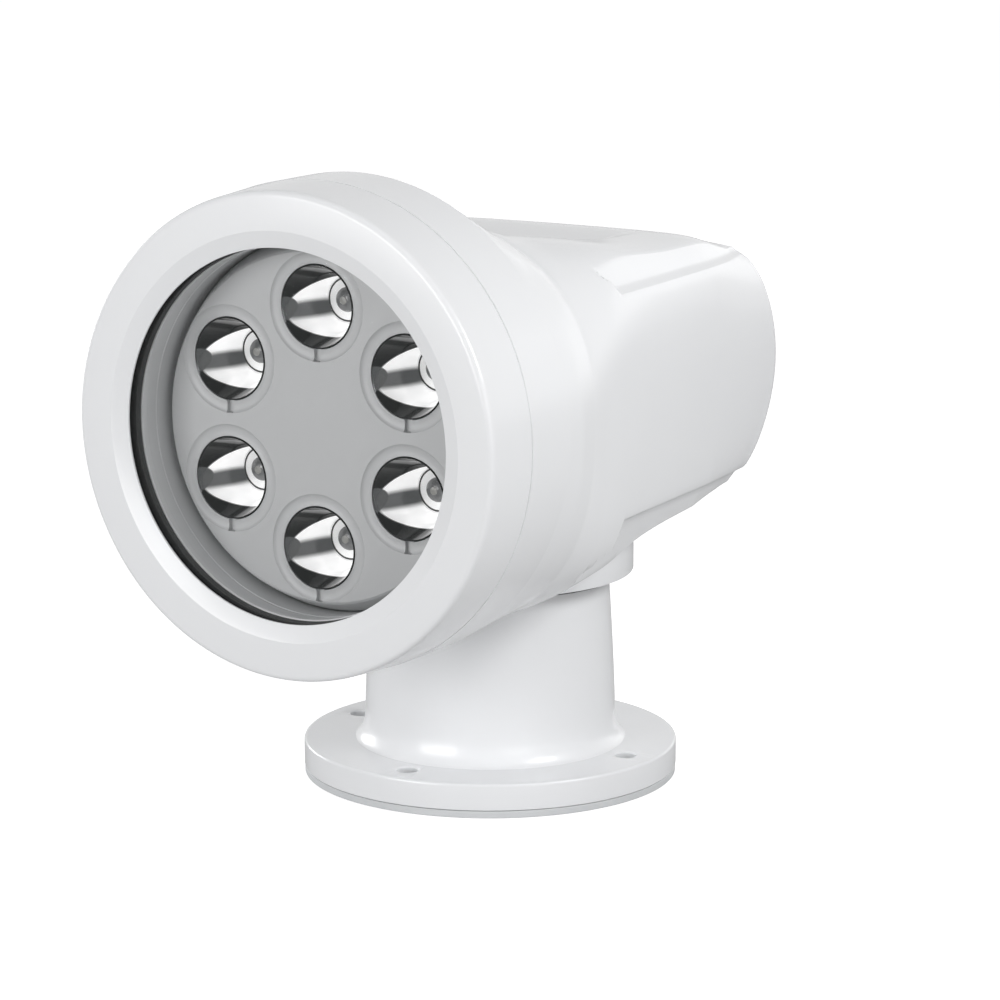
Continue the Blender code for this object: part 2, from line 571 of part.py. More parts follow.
# turntable with its hollow spindle, and what hangs on it
spindle_end = BEARING_UNDER - SPINDLE_LENGTH + BEARING_WIDTH
spindle_radius = BEARING_BORE_RADIUS - GAP
TURNTABLE_RADIUS = COLLAR_INSIDE - GAP
turntable = add("turntable", lathe([
    (SPINDLE_BORE_RADIUS, TURNTABLE_TOP), (TURNTABLE_RADIUS, TURNTABLE_TOP),
    (TURNTABLE_RADIUS, TURNTABLE_UNDER), (BEARING_BORE_RADIUS + RACE_WALL, TURNTABLE_UNDER),
    (BEARING_BORE_RADIUS + RACE_WALL, DECK_TOP_Z), (spindle_radius, DECK_TOP_Z),
    (spindle_radius, spindle_end), (SPINDLE_BORE_RADIUS, spindle_end)], 24), ALUMINIUM,
    parent=PAN_AXIS)
turntable_screw_circle = (FLOOR_HOLE_RADIUS + TURNTABLE_RADIUS) / 2
turntable_screw_places = around(turntable_screw_circle, 4, math.radians(45))
SCREW_TOP = TURNTABLE_TOP + 7 * MM
turntable_screw_cutter = tool("turntable_screw_holes", joined([
    cylinder(TURNTABLE_SCREW_RADIUS + GAP, COLLAR_RIM_Z - 5 * MM, SCREW_TOP + GAP, 8, at)
    for at in turntable_screw_places]), parent=PAN_AXIS)
boolean(turntable, turntable_screw_cutter)
for number, (x, y) in enumerate(turntable_screw_places, 1):
    head = TURNTABLE_UNDER - GAP
    add(f"turntable_screw_{number}", lathe([
        (0.0, SCREW_TOP), (TURNTABLE_SCREW_RADIUS, SCREW_TOP), (TURNTABLE_SCREW_RADIUS, head),
        (1.5 * TURNTABLE_SCREW_RADIUS, head),
        (1.4 * TURNTABLE_SCREW_RADIUS, head - TURNTABLE_SCREW_RADIUS),
        (0.0, head - TURNTABLE_SCREW_RADIUS)], 8), STEEL, (x, y, 0.0), parent=PAN_AXIS)

spindle_nut = add("spindle_nut", cylinder(
    BEARING_BORE_RADIUS + RACE_WALL + 0.9 * MM, BEARING_UNDER - GAP - NUT_HEIGHT,
    BEARING_UNDER - GAP, 6), STEEL, parent=PAN_AXIS)
boolean(spindle_nut, tool("spindle_nut_bore", cylinder(
    BEARING_BORE_RADIUS, BEARING_UNDER - NUT_HEIGHT - 5 * MM, BEARING_TOP, 24), parent=PAN_AXIS))
rotor_radius = 0.875 * SPINDLE_BORE_RADIUS
rotor = add("slip_ring_rotor", lathe([
    (0.0, TURNTABLE_TOP + GAP + 2 * MM), (SPINDLE_BORE_RADIUS + 4 * MM, TURNTABLE_TOP + GAP + 2 * MM),
    (SPINDLE_BORE_RADIUS + 4 * MM, TURNTABLE_TOP + GAP), (rotor_radius, TURNTABLE_TOP + GAP),
    (rotor_radius, stator_top - SLIP_RING_LENGTH + 6 * MM),
    (0.0, stator_top - SLIP_RING_LENGTH + 6 * MM)], 16), NYLON, parent=PAN_AXIS)

pan_pinion_at = (0.0, PAN_CENTRES, 0.0)
shaft_bore = cylinder(PINION_SHAFT_RADIUS + GAP, TURNTABLE_UNDER - 5 * MM,
                      TURNTABLE_TOP + 9 * MM, 16)
shaft_cutter = tool("pan_shaft_bore", shaft_bore, pan_pinion_at, parent=PAN_AXIS)
boolean(turntable, shaft_cutter)
soften(turntable)
pinion_low = gear_low + 0.5 * MM
# a gap between teeth of the pinion faces the tooth of the ring gear
pan_pinion = add("pan_pinion", prism(involute_outline(
    PAN_PINION_TEETH, PAN_MODULE, -math.pi / 2 + (math.pi / PAN_PINION_TEETH)), pinion_low,
    gear_low + RING_GEAR_HEIGHT), BRASS, pan_pinion_at, parent=PAN_AXIS)
boolean(pan_pinion, tool("pan_pinion_shaft", cylinder(
    PINION_SHAFT_RADIUS, pinion_low + 1 * MM, TURNTABLE_TOP + 8 * MM, 16), pan_pinion_at,
    parent=PAN_AXIS), "UNION")
soften(pan_pinion)
motor_low = TURNTABLE_TOP + GAP
pan_motor = add("pan_motor", lathe([
    (0.0, motor_low + PAN_MOTOR_HEIGHT), (3 * MM, motor_low + PAN_MOTOR_HEIGHT),
    (3.4 * MM, motor_low + PAN_MOTOR_HEIGHT - 1.5 * MM),
    (PAN_MOTOR_RADIUS - 1 * MM, motor_low + PAN_MOTOR_HEIGHT - 1.5 * MM),
    (PAN_MOTOR_RADIUS, motor_low + PAN_MOTOR_HEIGHT - 2.5 * MM),
    (PAN_MOTOR_RADIUS, motor_low), (0.0, motor_low)], 16), MOTOR, pan_pinion_at, parent=PAN_AXIS)
boolean(pan_motor, shaft_cutter)


# head shell: a loft from the round front to a squarish body, with a domed back
def station(y):
    """Half width, top, bottom and squareness of the shell at a length y, in metres."""
    rows = [(row[0] * MM,) + tuple(v * SHELL_RADIUS for v in row[1:4]) + (row[4],)
            for row in SHELL_STATIONS]
    if y <= rows[0][0]:
        return rows[0][1:]
    for a, b in zip(rows, rows[1:]):
        if y <= b[0]:
            t = (y - a[0]) / (b[0] - a[0])
            return tuple(p + (q - p) * t for p, q in zip(a[1:], b[1:]))
    return rows[-1][1:]


def dome(x, z, inset=0.0):
    return REAR_DOME_Y - inset - REAR_DOME_SIDE * x * x - REAR_DOME_UP * z * z


def smooth(t):
    t = min(max(t, 0.0), 1.0)
    return t * t * (3 - 2 * t)


def section(y, count, inset=0.0, square=None):
    """(x, z) points of the shell's section, by equal polar angles."""
    wide, up, down, power = station(y)
    if square is not None:
        power = min(power, square)
    run = HOLLOW_BACK_Y - HOLLOW_FRONT_Y
    hollow = HOLLOW_DEPTH * smooth((y - HOLLOW_FRONT_Y) / (0.38 * run)) * smooth(
        (HOLLOW_BACK_Y - y) / (0.38 * run))
    points = []
    for i in range(count):
        angle = 2 * math.pi * i / count
        c, s = math.cos(angle), math.sin(angle)
        high = (up - (hollow + 0.4 * MM if inset else 0.0)) if s > 0 else down
        a, b = wide - inset, high - inset
        reach = ((abs(c) / a) ** power + (abs(s) / b) ** power) ** (-1 / power)
        x, z = reach * c, reach * s
        if s > 0 and not inset:
            share = abs(x) / SHELL_RADIUS
            z -= hollow * (1 - smooth((share - HOLLOW_FLOOR) / (HOLLOW_RIM - HOLLOW_FLOOR)))
        points.append((x, z))
    return points


def shell_rings(stops, count, inset=0.0, square=None):
    """Rings along the shell, then the fillet and the dome of its back."""
    rings = [[(x, y, z) for x, z in section(y, count, inset, square)] for y in stops]
    start = stops[-1]
    fillet = REAR_FILLET
    # from the last stop on, a ring lies at a share of the way to the dome, not at one length
    for part, inward in ((0.35, 0.0), (0.7, 0.0), (1.0, 0.0), (1.0, 0.3), (1.0, 1.0)):
        ring = []
        for (x, z), (x0, z0) in zip(section(start + part * REAR_RUN, count, inset, square),
                                    section(start, count, inset, square)):
            scale = 1 - inward * fillet / math.hypot(x, z)
            end = dome(x * scale, z * scale, inset)
            back = fillet * (0.0 if inward == 1.0 else 0.3 if inward else 1.0)
            y = start + part * (end - start - back)
            ring.append((x * scale, y, z * scale))
        rings.append(ring)
    edge = rings[-1]
    for scale in ((0.85, 0.5) if inset == 0.0 else (0.5,)):
        rings.append([(x * scale, dome(x * scale, z * scale, inset), z * scale)
                      for x, y, z in edge])
    return rings, (0.0, dome(0, 0, inset), 0.0)


shell_stops = [SHELL_FRONT_Y] + [row[0] * MM for row in SHELL_STATIONS
                                if row[0] * MM <= REAR_START_Y]
rings, nose = shell_rings(shell_stops, SHELL_STEPS)
head_housing = add("head_housing", loft(rings, nose), WHITE, HEAD_CENTRE, parent=PAN_AXIS)
collar_top = HEAD_AXIS_Z - station(COLLAR_RADIUS)[2] + 0.65 * SHELL_WALL
collar = tool("collar", cylinder(COLLAR_RADIUS, COLLAR_RIM_Z, collar_top, FINE_STEPS),
              parent=PAN_AXIS)
boolean(head_housing, collar, "UNION")


def rebate(side, up):
    """A cutter for the step that runs along one long corner to the back: a ledge that rises
    inwards, and a facet over it that leans in."""
    ledges = UPPER_LEDGE if up > 0 else LOWER_LEDGE
    reach = 0.4 * SHELL_RADIUS
    ends = []
    for y, share in zip((REBATE_START_Y, REAR_DOME_Y + 8 * MM), ledges):
        wide, high, low, power = station(y)
        height = share * SHELL_RADIUS
        flank = wide * (1 - (height / (high if up > 0 else low)) ** power) ** (1 / power)
        edge = flank - REBATE_DEPTH
        slope = REBATE_RISE / REBATE_DEPTH
        outline = ((edge, REBATE_RISE), (edge + reach, REBATE_RISE - slope * reach),
                   (edge + reach, reach), (edge - 0.42 * reach, reach))
        slant = 0.9 if y == REBATE_START_Y else 0.0
        ends.append([(side * x, y - slant * h, up * (height + h)) for x, h in outline])
    return loft(ends)


boolean(head_housing, tool("rebates", joined(
    [rebate(side, up) for side in (1, -1) for up in (1, -1)]), HEAD_CENTRE, parent=PAN_AXIS))

BORE_RADIUS = SHELL_RADIUS - SHELL_WALL - 0.4 * MM
inner_rings, inner_nose = shell_rings(
    [SHELL_STEP_Y - 0.5 * MM] + [row[0] * MM for row in SHELL_STATIONS[2:8:2]] + [REAR_START_Y],
    FINE_STEPS, SHELL_WALL, 3.4)
inner_rings = [[(x, y, z) for x, z in around(BORE_RADIUS, FINE_STEPS)]
               for y in (SHELL_FRONT_Y - 10 * MM, SHELL_STEP_Y - 6 * MM)] + inner_rings
boolean(head_housing, tool("cavity", loft(inner_rings, inner_nose), HEAD_CENTRE,
                           parent=PAN_AXIS))
seat_z = TURNTABLE_TOP + GAP
boolean(head_housing, tool("collar_bore", lathe([
    (0.0, collar_top + 15 * MM), (FLOOR_HOLE_RADIUS, collar_top + 15 * MM),
    (FLOOR_HOLE_RADIUS, seat_z), (COLLAR_INSIDE, seat_z), (COLLAR_INSIDE, COLLAR_RIM_Z - 5 * MM),
    (0.0, COLLAR_RIM_Z - 5 * MM)], FINE_STEPS), parent=PAN_AXIS))
boolean(head_housing, turntable_screw_cutter)

soften(head_housing, 28)

# bezel, glass and shroud, turned about the lamp's axis with +Z forward
FRONT = -BEZEL_FRONT_Y
SEAM = -SHELL_FRONT_Y + GAP
LIP_FRONT = FRONT - CHAMFER_DEPTH
LIP_BACK = LIP_FRONT - LIP_THICKNESS
LENS_FRONT = LIP_BACK - LENS_GASKET_THICKNESS - 2 * GAP
LENS_BACK = LENS_FRONT - LENS_THICKNESS
SPIGOT_RADIUS = BORE_RADIUS - 1.5 * GAP
SPIGOT_BACK = SEAM - SPIGOT_LENGTH
BEZEL_INSIDE = BEZEL_FRONT_RADIUS - BEZEL_WALL
POCKET = LENS_RADIUS + GAP
RETAINER_SEAT = LENS_BACK - 0.6 * MM
seal_front = SEAM - 2.6 * MM
bezel = add("bezel", lathe([
    (CHAMFER_RADIUS, FRONT), (BEZEL_FRONT_RADIUS - BEZEL_EDGE, FRONT),
    (BEZEL_FRONT_RADIUS - 0.3 * BEZEL_EDGE, FRONT - 0.3 * BEZEL_EDGE),
    (BEZEL_FRONT_RADIUS, FRONT - BEZEL_EDGE), (SHELL_RADIUS - 0.1 * MM, SEAM),
    (SPIGOT_RADIUS, SEAM), (SPIGOT_RADIUS, seal_front),
    (SPIGOT_RADIUS - SEAL_DEPTH - GAP, seal_front),
    (SPIGOT_RADIUS - SEAL_DEPTH - GAP, seal_front - SEAL_WIDTH - 2 * GAP),
    (SPIGOT_RADIUS, seal_front - SEAL_WIDTH - 2 * GAP), (SPIGOT_RADIUS, SPIGOT_BACK),
    (BEZEL_INSIDE, SPIGOT_BACK), (BEZEL_INSIDE, RETAINER_SEAT), (POCKET, RETAINER_SEAT),
    (POCKET, LIP_BACK), (GLASS_OPENING_RADIUS, LIP_BACK), (GLASS_OPENING_RADIUS, LIP_FRONT)],
    FINE_STEPS), WHITE, HEAD_CENTRE, FORWARD, PAN_AXIS)
soften(bezel, 20)
seal_mid = seal_front - GAP - SEAL_WIDTH / 2
bezel_seal = add("bezel_seal", lathe(ring_of(
    SPIGOT_RADIUS - SEAL_DEPTH, SPIGOT_RADIUS + 0.1 * MM, seal_mid - SEAL_WIDTH / 2,
    seal_mid + SEAL_WIDTH / 2), FINE_STEPS), RUBBER, HEAD_CENTRE, FORWARD, PAN_AXIS)
lens_gasket = add("lens_gasket", lathe(ring_of(
    GLASS_OPENING_RADIUS + 0.4 * MM, LENS_RADIUS, LENS_FRONT + GAP,
    LENS_FRONT + GAP + LENS_GASKET_THICKNESS), FINE_STEPS), GASKET_GREY, HEAD_CENTRE, FORWARD,
    PAN_AXIS)
lens = add("lens", cylinder(LENS_RADIUS, LENS_BACK, LENS_FRONT, FINE_STEPS), GLASS, HEAD_CENTRE,
           FORWARD, PAN_AXIS)
retainer_front = RETAINER_SEAT - GAP
lens_retainer = add("lens_retainer", lathe([
    (SHROUD_FRONT_RADIUS, LENS_BACK - GAP), (LENS_RADIUS, LENS_BACK - GAP),
    (LENS_RADIUS, retainer_front), (BEZEL_INSIDE - GAP, retainer_front),
    (BEZEL_INSIDE - GAP, retainer_front - 3 * MM),
    (SHROUD_FRONT_RADIUS + 4 * MM, retainer_front - 3 * MM),
    (SHROUD_REAR_RADIUS + 1.8 * MM, -SHROUD_END_Y), (SHROUD_REAR_RADIUS, -SHROUD_END_Y)],
    FINE_STEPS), DARK, HEAD_CENTRE, FORWARD, PAN_AXIS)
soften(lens_retainer, 20)

# tilting optics: tray, six cups, LED board, finned heat sink
TRAY_FACE = -TRAY_FRONT_Y
TRAY_BACK = TRAY_FACE - TRAY_DEPTH
cup_places = around(CUP_CIRCLE_RADIUS, CUP_COUNT, math.pi / 2)
skirt_inside = TRAY_RADIUS - TRAY_SKIRT_WALL
optic_tray = add("optic_tray", lathe([
    (0.0, TRAY_FACE), (TRAY_RADIUS - 0.8 * MM, TRAY_FACE), (TRAY_RADIUS, TRAY_FACE - 0.8 * MM),
    (TRAY_RADIUS, TRAY_BACK), (skirt_inside, TRAY_BACK), (skirt_inside, TRAY_FACE - TRAY_PLATE),
    (0.0, TRAY_FACE - TRAY_PLATE)]), GREY, HEAD_CENTRE, FORWARD, TILT_AXIS)
hole = CUP_RADIUS + CUP_WALL + GAP
boolean(optic_tray, tool("cup_recesses", joined([
    cylinder(CUP_RECESS_RADIUS, TRAY_FACE - CUP_RECESS_DEPTH, TRAY_FACE + 5 * MM, CUP_STEPS, at)
    for at in cup_places]), HEAD_CENTRE, FORWARD, TILT_AXIS))
boolean(optic_tray, tool("cup_holes", joined([
    cylinder(hole, TRAY_FACE - TRAY_PLATE - 5 * MM, TRAY_FACE + 5 * MM, CUP_STEPS, at)
    for at in cup_places]), HEAD_CENTRE, FORWARD, TILT_AXIS))
tilt_point = (0.0, TILT_AXIS_Y, HEAD_AXIS_Z)
boolean(optic_tray, tool("trunnion_holes", cylinder(
    TRUNNION_RADIUS + GAP, -TRAY_RADIUS - 5 * MM, TRAY_RADIUS + 5 * MM, 16), tilt_point, SIDEWAYS,
    TILT_AXIS))
soften(optic_tray)

cup_front = TRAY_FACE - CUP_RECESS_DEPTH + 0.4 * MM
cup_back = cup_front - CUP_DEPTH
focus = (CUP_RADIUS ** 2 - CUP_THROAT_RADIUS ** 2) / (4 * CUP_DEPTH)


def cup_height(radius):
    """The parabola of the cup's inside, from the throat at its back."""
    return cup_back + (radius ** 2 - CUP_THROAT_RADIUS ** 2) / (4 * focus)


cup_inside = [CUP_THROAT_RADIUS + (CUP_RADIUS - CUP_THROAT_RADIUS) * t
              for t in (0.0, 0.25, 0.55, 0.8, 1.0)]
cup_outside = [CUP_RADIUS, (CUP_RADIUS + CUP_THROAT_RADIUS) / 2 + 1 * MM, CUP_THROAT_RADIUS]
cup_profile = [(r, cup_height(r)) for r in cup_inside]
cup_profile += [(CUP_RADIUS + CUP_WALL, cup_front), (CUP_RADIUS + CUP_WALL, cup_front - 4 * MM)]
cup_profile += [(r + CUP_WALL * 1.15, cup_height(r) - 0.2 * MM) for r in cup_outside[1:2]]
cup_profile += [(CUP_THROAT_RADIUS + CUP_WALL, cup_back)]
cup_mesh = lathe(cup_profile, CUP_STEPS)
for number, (x, y) in enumerate(cup_places, 1):
    cup = add(f"reflector_{number}", cup_mesh.copy(), CHROME,
              (x, 0.0, HEAD_AXIS_Z + y), FORWARD, TILT_AXIS)
    soften(cup)

board_front = cup_back - GAP
board_back = board_front - LED_BOARD_THICKNESS
led_board = add("led_board", cylinder(skirt_inside - 1.0 * MM, board_back, board_front,
                                      ROUND_STEPS), BOARD, HEAD_CENTRE, FORWARD, TILT_AXIS)
led = [(0.0, board_front + LED_SEAT_HEIGHT + 0.9 * LED_RADIUS),
       (0.6 * LED_RADIUS, board_front + LED_SEAT_HEIGHT + 0.8 * LED_RADIUS),
       (LED_RADIUS, board_front + LED_SEAT_HEIGHT),
       (LED_SEAT_RADIUS, board_front + LED_SEAT_HEIGHT),
       (LED_SEAT_RADIUS, board_front - 0.8 * MM), (0.0, board_front - 0.8 * MM)]
led_mesh = lathe(led, 8)
led_copies = []
for x, y in cup_places:
    bm = bmesh.new()
    bm.from_mesh(led_mesh)
    bmesh.ops.translate(bm, verts=bm.verts, vec=(x, y, 0.0))
    copy = bpy.data.meshes.new("led")
    bm.to_mesh(copy)
    bm.free()
    led_copies.append(copy)
boolean(led_board, tool("leds", joined(led_copies), HEAD_CENTRE, FORWARD, TILT_AXIS), "UNION")

sink_front = board_back - GAP
sink_back = sink_front - HEAT_SINK_BASE
heat_sink = add("heat_sink", cylinder(HEAT_SINK_RADIUS, sink_back, sink_front, ROUND_STEPS),
                ALUMINIUM, HEAD_CENTRE, FORWARD, TILT_AXIS)
fins = [box((FIN_THICKNESS, 2 * FIN_HALF_HEIGHT, FIN_LENGTH + 2 * MM),
            ((i - (FIN_COUNT - 1) / 2) * FIN_PITCH, 0.0, sink_back - FIN_LENGTH / 2 + 1 * MM))
        for i in range(FIN_COUNT)]
boolean(heat_sink, tool("fins", joined(fins), HEAD_CENTRE, FORWARD, TILT_AXIS), "UNION")

# trunnions and their pillow blocks
collar_start = TRAY_RADIUS + GAP
block_start = collar_start + 5.0 * MM
for side, label in ((1, "left"), (-1, "right")):
    turn = (0.0, side * math.pi / 2, 0.0)
    pin = add(f"trunnion_{label}", lathe([
        (0.0, block_start + BRACKET_WIDTH - 3 * MM), (TRUNNION_RADIUS, block_start + BRACKET_WIDTH - 3 * MM),
        (TRUNNION_RADIUS, block_start - GAP), (TRUNNION_COLLAR_RADIUS, block_start - GAP),
        (TRUNNION_COLLAR_RADIUS, collar_start), (TRUNNION_RADIUS, collar_start),
        (TRUNNION_RADIUS, skirt_inside - 1 * MM), (0.0, skirt_inside - 1 * MM)], 16), STEEL,
        tilt_point, turn, TILT_AXIS)
    reach = math.sqrt(BORE_RADIUS ** 2 - (BRACKET_HEIGHT / 2) ** 2) - GAP - 0.3 * MM
    block = add(f"tilt_bracket_{label}", box(
        (reach - block_start, BRACKET_DEPTH, BRACKET_HEIGHT),
        (side * (reach + block_start) / 2, 0.0, 0.0)), NYLON,
        (0.0, TILT_AXIS_Y + 1 * MM, HEAD_AXIS_Z), parent=PAN_AXIS)
    boolean(block, tool(f"tilt_bore_{label}", cylinder(
        TRUNNION_RADIUS + GAP, block_start - 5 * MM, block_start + BRACKET_WIDTH, 16),
        tilt_point, turn, PAN_AXIS))

# tilt drive: toothed sector on the heat sink, pinion and motor on the shell
SECTOR_RADIUS = TILT_MODULE * SECTOR_TEETH / 2
foot_y = -sink_back + GAP - TILT_AXIS_Y
sector_count = int(SECTOR_HALF_ANGLE / (2 * math.pi / SECTOR_TEETH))
arc = involute_outline(SECTOR_TEETH, TILT_MODULE, 0.0, first=-sector_count, last=sector_count + 1)
edge_half = (SECTOR_RADIUS - 2 * TILT_MODULE) * math.sin(SECTOR_HALF_ANGLE * 0.98)
outline = arc + [(foot_y + SECTOR_FOOT, edge_half), (foot_y, edge_half), (foot_y, -edge_half),
                 (foot_y + SECTOR_FOOT, -edge_half)]
# the outline's x is the way back from the axis and its y is up; it is drawn along +X
tilt_sector = add("tilt_sector", prism(outline, 0.0, SECTOR_THICKNESS), ACETAL,
                  (SECTOR_X, TILT_AXIS_Y, HEAD_AXIS_Z),
                  (math.pi / 2, 0.0, math.pi / 2), TILT_AXIS)
TILT_CENTRES = TILT_MODULE * (SECTOR_TEETH + TILT_PINION_TEETH) / 2
tilt_pinion_at = (SECTOR_X, TILT_AXIS_Y + TILT_CENTRES, HEAD_AXIS_Z)
tilt_motor_x = SECTOR_THICKNESS + 3.5 * MM
tilt_turn = (math.pi / 2, 0.0, math.pi / 2)
tilt_pinion = add("tilt_pinion", prism(involute_outline(
    TILT_PINION_TEETH, TILT_MODULE, math.pi + math.pi / TILT_PINION_TEETH), -0.5 * MM,
    SECTOR_THICKNESS + 0.5 * MM), BRASS, tilt_pinion_at, tilt_turn, PAN_AXIS)
boolean(tilt_pinion, tool("tilt_pinion_shaft", cylinder(
    PINION_SHAFT_RADIUS, 0.5 * MM, tilt_motor_x + 8 * MM, 16), tilt_pinion_at, tilt_turn,
    PAN_AXIS), "UNION")
soften(tilt_pinion)
tilt_motor = add("tilt_motor", cylinder(
    TILT_MOTOR_RADIUS, tilt_motor_x, tilt_motor_x + TILT_MOTOR_LENGTH, 24), MOTOR,
    tilt_pinion_at, tilt_turn, PAN_AXIS)
boolean(tilt_motor, tool("tilt_shaft_bore", cylinder(
    PINION_SHAFT_RADIUS + GAP, tilt_motor_x - 3 * MM, tilt_motor_x + 9 * MM, 16),
    tilt_pinion_at, tilt_turn, PAN_AXIS))
wall_y = tilt_pinion_at[1] + 10 * MM
mount_x = SECTOR_X + tilt_motor_x + TILT_MOTOR_LENGTH + GAP
wall_x = station(wall_y)[0] - SHELL_WALL - 1.6 * MM
tilt_motor_mount = add("tilt_motor_mount", box(
    (wall_x - mount_x, 20 * MM, 20 * MM), ((wall_x + mount_x) / 2, tilt_pinion_at[1], 0.0)),
    NYLON, HEAD_CENTRE, parent=PAN_AXIS)


# control board on four stand-offs
def floor_z(x, y):
    """Height of the shell's inside floor, over the head's axis."""
    low = -station(y)[2] + SHELL_WALL
    share = (y - REAR_START_Y) / (dome(x, low, SHELL_WALL) - REAR_START_Y - REAR_FILLET)
    wide, up, down, power = station(REAR_START_Y + share * REAR_RUN)
    power = min(power, 3.4)
    a, b = wide - SHELL_WALL, down - SHELL_WALL
    return -b * (1 - (abs(x) / a) ** power) ** (1 / power)


board_z = floor_z(0.0, BOARD_FRONT_Y) + BOARD_STAND_OFF
control_board = add("control_board", box(
    (2 * BOARD_HALF_WIDTH, BOARD_DEPTH, BOARD_THICKNESS),
    (0.0, BOARD_FRONT_Y + BOARD_DEPTH / 2, board_z)), BOARD, HEAD_CENTRE, parent=PAN_AXIS)
half, deep, thick = BOARD_HALF_WIDTH, BOARD_DEPTH, BOARD_THICKNESS
chips = [box((0.41 * half, 0.58 * deep, 3 * thick),
             (-0.5 * half, BOARD_FRONT_Y + 0.65 * deep, board_z + 1.6 * thick)),
         box((0.27 * half, 0.8 * deep, 5.6 * thick),
             (0.55 * half, BOARD_FRONT_Y + 0.55 * deep, board_z + 2.9 * thick))]
legs = []
for side in (1, -1):
    for y in (BOARD_FRONT_Y + STAND_OFF_INSET / 2, BOARD_FRONT_Y + BOARD_DEPTH - STAND_OFF_INSET):
        x = side * (BOARD_HALF_WIDTH - STAND_OFF_INSET)
        low = floor_z(abs(x) + STAND_OFF_RADIUS, y + STAND_OFF_RADIUS) + 2 * GAP
        legs.append(cylinder(STAND_OFF_RADIUS, low, board_z, 12, (x, y)))
boolean(control_board, tool("board_pieces", joined(chips + legs), HEAD_CENTRE, parent=PAN_AXIS),
        "UNION")
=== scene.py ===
"""Marine searchlight in a plain studio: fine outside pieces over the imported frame, with their
materials, the floor, the lights and the camera. Metres, +Z up, the lamp faces -Y."""

import json
import math

import bmesh
import bpy
from mathutils import Matrix, Vector


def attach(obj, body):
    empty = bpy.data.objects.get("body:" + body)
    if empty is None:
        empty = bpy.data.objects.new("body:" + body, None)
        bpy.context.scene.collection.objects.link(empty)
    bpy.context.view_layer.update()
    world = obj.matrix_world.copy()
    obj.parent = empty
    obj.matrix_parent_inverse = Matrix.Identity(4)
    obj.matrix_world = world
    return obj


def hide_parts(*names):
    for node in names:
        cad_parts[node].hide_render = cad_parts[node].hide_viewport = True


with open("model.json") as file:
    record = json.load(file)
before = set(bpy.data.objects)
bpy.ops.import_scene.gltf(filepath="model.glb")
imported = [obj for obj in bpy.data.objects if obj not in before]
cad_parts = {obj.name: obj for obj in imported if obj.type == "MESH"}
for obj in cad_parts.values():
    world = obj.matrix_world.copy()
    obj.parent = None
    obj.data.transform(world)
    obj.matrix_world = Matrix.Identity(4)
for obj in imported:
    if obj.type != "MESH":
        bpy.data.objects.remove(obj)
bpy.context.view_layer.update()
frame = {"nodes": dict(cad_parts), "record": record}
nodes = frame["nodes"]

MM = 0.001
HEAD_Z = 169.5  # height of the lamp's axis; every length here is in millimetres until it is placed
FORWARD = Matrix.Translation((0, 0, HEAD_Z)) @ Matrix.Rotation(math.pi / 2, 4, "X")
UPRIGHT = Matrix.Identity(4)
HEAD = Matrix.Translation((0, 0, HEAD_Z))


# shapes
def place(mesh, matrix=UPRIGHT):
    """Brings a mesh made in millimetres about its own origin to its place, in metres."""
    mesh.transform(Matrix.Scale(MM, 4) @ matrix)
    return mesh


def piece(name, mesh, mat, body, replaces=(), sharp=30.0):
    """A finished piece: smooth, riding on its body, standing for the nodes that it names."""
    obj = bpy.data.objects.new(name, mesh)
    bpy.context.scene.collection.objects.link(obj)
    if mat is not None:
        mesh.materials.clear()
        mesh.materials.append(mat)
    mesh.shade_smooth()
    mesh.set_sharp_from_angle(angle=math.radians(sharp))
    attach(obj, body)
    if replaces:
        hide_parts(*replaces)
    return obj


def mesh_of(bm, name="mesh"):
    mesh = bpy.data.meshes.new(name)
    bm.to_mesh(mesh)
    bm.free()
    return mesh


def turned(profile, steps=160):
    """A solid turned about Z from (radius, z) points; ends on the axis close to a point, and any
    other profile closes on itself."""
    on_axis = profile[0][0] == 0.0 and profile[-1][0] == 0.0
    bm = bmesh.new()
    rows = []
    for r, z in profile:
        if r == 0.0:
            rows.append([bm.verts.new((0, 0, z))])
        else:
            rows.append([bm.verts.new((r * math.cos(a), r * math.sin(a), z))
                         for a in (2 * math.pi * i / steps for i in range(steps))])
    pairs = list(zip(rows, rows[1:])) if on_axis else list(zip(rows, rows[1:] + rows[:1]))
    for a, b in pairs:
        for i in range(steps):
            j = (i + 1) % steps
            if len(a) == 1:
                bm.faces.new((a[0], b[i], b[j]))
            elif len(b) == 1:
                bm.faces.new((a[i], b[0], a[j]))
            else:
                bm.faces.new((a[i], b[i], b[j], a[j]))
    bmesh.ops.recalc_face_normals(bm, faces=bm.faces)
    return mesh_of(bm)


def rounded(profile, radii, count=5):
    """The closed (radius, z) profile with each corner rounded by its radius in the list."""
    points = []
    total = len(profile)
    for i, (corner, radius) in enumerate(zip(profile, radii)):
        if radius <= 0:
            points.append(corner)
            continue
        before, after = Vector(profile[i - 1]), Vector(profile[(i + 1) % total])
        corner = Vector(corner)
        a, b = (before - corner).normalized(), (after - corner).normalized()
        half = a.angle(b) / 2
        run = min(radius / math.tan(half), 0.48 * (before - corner).length,
                  0.48 * (after - corner).length)
        start, end = corner + a * run, corner + b * run
        for k in range(count + 1):
            t = k / count
            points.append(tuple((1 - t) ** 2 * start + 2 * t * (1 - t) * corner + t * t * end))
    return points


def box_mesh(size, centre, bevel=0.0):
    bm = bmesh.new()
    bmesh.ops.create_cube(bm, size=1.0)
    bmesh.ops.scale(bm, verts=bm.verts, vec=size)
    if bevel:
        bmesh.ops.bevel(bm, geom=bm.edges[:], offset=bevel, segments=3, profile=0.5,
                        affect="EDGES")
    bmesh.ops.translate(bm, verts=bm.verts, vec=centre)
    return mesh_of(bm)


